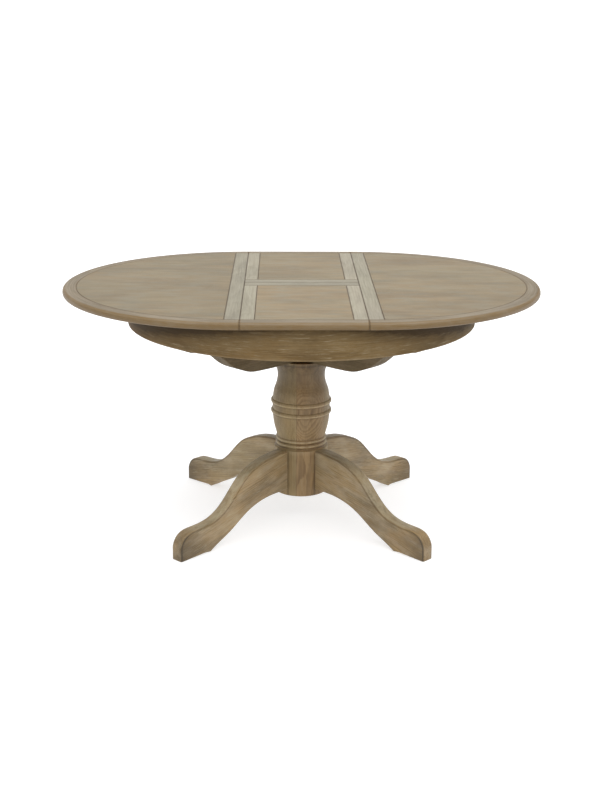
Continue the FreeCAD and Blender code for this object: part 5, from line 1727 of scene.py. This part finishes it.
@dataclass
class Bearers:
    """The two crossed bearers under the guides, with ogee undersides."""

    reach: float = 480.0 * MM
    thickness: float = 60.0 * MM
    ease: float = 2.0 * MM
    stations: int = 80
    shares: tuple[tuple[float, float], ...] = (
        (0.3, 1.0), (0.361, 0.998), (0.421, 0.991), (0.485, 0.978), (0.531, 0.944), (0.573, 0.888),
        (0.635, 0.782), (0.683, 0.668), (0.717, 0.56), (0.755, 0.446), (0.79, 0.366), (0.83, 0.306),
        (0.88, 0.252), (0.94, 0.2), (1.0, 0.16),
    )

    def build(self) -> None:
        """Builds both bearers: a section between the flat top and the ogee underside, with eased arrises."""
        low, high = node_box("bearer_lower")
        depth = float(high[2] - low[2])
        right = np.array([(self.reach * x, high[2] - depth * z) for x, z in self.shares])
        right = smooth_through(right, self.stations, (1.0, 0.0), right[-1] - right[-2])
        under = np.concatenate([right[::-1] * np.array([-1.0, 1.0]), right])
        upper = np.stack([under[:, 0], np.full(len(under), high[2])], axis=1)
        half = self.thickness / 2.0
        eases = list(zip(*quarter_round(self.ease, 4)))
        places = [(upper, -1.0, -1.0, eases), (upper, -1.0, 1.0, eases[::-1]),
                  (under, 1.0, 1.0, eases), (under, 1.0, -1.0, eases[::-1])]
        lines = [at_side(line + (0.0, inwards * inset), side * (half - shift))
                 for line, inwards, side, order in places for inset, shift in order]
        rings = np.stack(lines[::-1], axis=1)
        finish = BEARER_OAK_SHADED.material()
        for index, (name, turn) in enumerate((("lower", 45.0), ("upper", 135.0))):
            timber = Timber((1.0, 0.0, 0.0), (0.0, 0.0, 1.0), (index * 4.0 + 20.0, 0.1, 0.2))
            skin = Skin(f"bearer_{name}_arm")
            skin.add_tube(rings @ spin_about_z(turn), timber.at(rings), 0.0)
            skin.build(finish, "base", "oak_base", [f"bearer_{name}"])


@dataclass(frozen=True)
class HiddenFrame:
    """The slides, gears, locks, fasteners and pads, which keep the meshes of their CAD nodes."""

    beech: tuple[tuple[Way, tuple[str, ...]], ...] = (
        (Way.X, ("guide_front", "guide_rear", "left_runner_front", "left_runner_rear",
                 "right_runner_front", "right_runner_rear")),
        (Way.Y, ("cross_rail_left", "cross_rail_right")),
        (Way.Z, ("apron_blocks", "leg_dowels")),
    )

    def build(self) -> None:
        """Gives every CAD node that stays its own finish: beech by its grain, the others by their slot."""
        by_node: dict[str, bpy.types.Material] = {}
        for way, nodes in self.beech:
            material = PlainBeech(f"beech_along_{way.name.lower()}", way).material()
            by_node.update({node: material for node in nodes})
        store_foot = float(node_box("store_floor")[0][2])
        by_slot = {
            "steel": ZincSteel("steel_zinc").material(), "nylon": NYLON.material(), "felt": FELT.material(),
            "plywood": Plywood("plywood_birch", low=store_foot).material(),
        }
        slots = {entry["node"]: entry["material_slot"] for entry in frame["record"]["subparts"]}
        for name, node in frame["nodes"].items():
            if node.hide_render:
                continue
            material = by_node.get(name) or by_slot[slots[name]]
            node.data.materials.clear()
            node.data.materials.append(material)
            log.info("%s is finished in %s", name, material.name)


# Studio

@dataclass
class Studio:
    """The photo's camera, a pale floor and soft light."""

    camera_place: tuple[float, float, float] = (-59.74 * MM, -4095.45 * MM, 1588.86 * MM)
    pitch: float = 0.28485
    yaw: float = 0.01366
    roll: float = 0.00356
    focal_pixels: float = 1350.7
    frame_height: int = 800
    sensor: float = 36.0
    farthest: float = 200.0
    floor_flat: float = 25.0
    floor_reach: float = 60.0
    floor_bend: float = 115.0
    floor_rings: int = 15
    floor_step: float = 5.0
    floor_dark: Colour = (0.47, 0.47, 0.475)
    floor_pale: Colour = (0.48, 0.48, 0.485)
    floor_glow: float = 0.645
    dome_strength: float = 0.69
    key_strength: float = 3.8
    key_spread: float = 80.0
    key_turn: tuple[float, float] = (13.0, 4.0)

    def camera(self) -> None:
        """Sets the camera from its place, pitch, yaw and roll."""
        data = bpy.data.cameras.new("photo_camera")
        data.sensor_width = self.sensor
        data.lens = self.focal_pixels * self.sensor / self.frame_height
        data.clip_end = self.farthest
        camera = bpy.data.objects.new("photo_camera", data)
        forward = Vector((
            math.sin(self.yaw) * math.cos(self.pitch), math.cos(self.yaw) * math.cos(self.pitch),
            -math.sin(self.pitch),
        ))
        rotation = forward.to_track_quat("-Z", "Y").to_matrix().to_4x4()
        roll = Matrix.Rotation(self.roll, 4, "Z")
        camera.matrix_world = Matrix.Translation(self.camera_place) @ rotation @ roll
        bpy.context.scene.collection.objects.link(camera)
        bpy.context.scene.camera = camera

    def paper(self, name: str, points: Array, faces: list[list[int]], material: bpy.types.Material) -> None:
        """Puts one sheet of the floor's paper into the scene.

        Args:
            name: The sheet's name.
            points: Its points, one to a row.
            faces: Its faces.
            material: The paper.
        """
        mesh = bpy.data.meshes.new(name)
        mesh.from_pydata(points.tolist(), [], faces)
        mesh.shade_smooth()
        mesh.materials.append(material)
        sheet = bpy.data.objects.new(name, mesh)
        bpy.context.scene.collection.objects.link(sheet)

    def floor(self) -> None:
        """A plain pale floor, and a sweep far round it.

        At a distance r the sweep is (r - flat)^2 / (2 bend) high.
        """
        g = Graph("floor_paper")
        pale = g.mix(g.noise(g.place(), (3.0, 3.0, 3.0)), self.floor_dark, self.floor_pale)
        material = g.surface(Base_Color=pale, Roughness=0.9, Specular_IOR_Level=0.1,
                             Emission_Color=(1.0, 1.0, 1.0), Emission_Strength=self.floor_glow)
        angles = np.radians(np.arange(0.0, 360.0, self.floor_step))
        count = len(angles)
        far = np.linspace(self.floor_flat, self.floor_reach, self.floor_rings)
        height = (far - self.floor_flat) ** 2 / (2.0 * self.floor_bend)
        circle = np.stack([np.cos(angles), np.sin(angles), np.ones(count)], axis=1)
        rings = circle * np.stack([far, far, height], axis=1)[:, None]
        near = np.arange(count)
        after = np.roll(near, -1)
        strips = np.concatenate([np.stack([near, near + count, after + count, after], axis=1) + count * strip
                                 for strip in range(len(far) - 1)])
        self.paper("floor", rings[0], [near.tolist()], material)
        self.paper("floor_sweep", rings.reshape(-1, 3), strips.tolist(), material)

    def lights(self) -> None:
        """A white dome, and a broad soft key from above and slightly in front."""
        world = bpy.data.worlds.new("studio")
        world.use_nodes = True
        background = world.node_tree.nodes["Background"]
        background.inputs["Color"].default_value = (1.0, 1.0, 1.0, 1.0)
        background.inputs["Strength"].default_value = self.dome_strength
        bpy.context.scene.world = world
        data = bpy.data.lights.new("key", "SUN")
        data.energy = self.key_strength
        data.angle = math.radians(self.key_spread)
        key = bpy.data.objects.new("key", data)
        key.rotation_euler = (math.radians(self.key_turn[0]), math.radians(self.key_turn[1]), 0.0)
        bpy.context.scene.collection.objects.link(key)

    def build(self) -> None:
        """Sets up the whole studio."""
        bpy.context.scene.view_settings.view_transform = "Standard"
        self.camera()
        self.floor()
        self.lights()


def main() -> None:
    """Builds the table around its frame, and the studio."""
    logging.basicConfig(level=logging.INFO, format="%(message)s")
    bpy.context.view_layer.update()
    Studio().build()
    TopBoards().build()
    Apron().build()
    Column().build()
    Legs().build()
    Bearers().build()
    HiddenFrame().build()


if __name__ == "__main__":
    main()
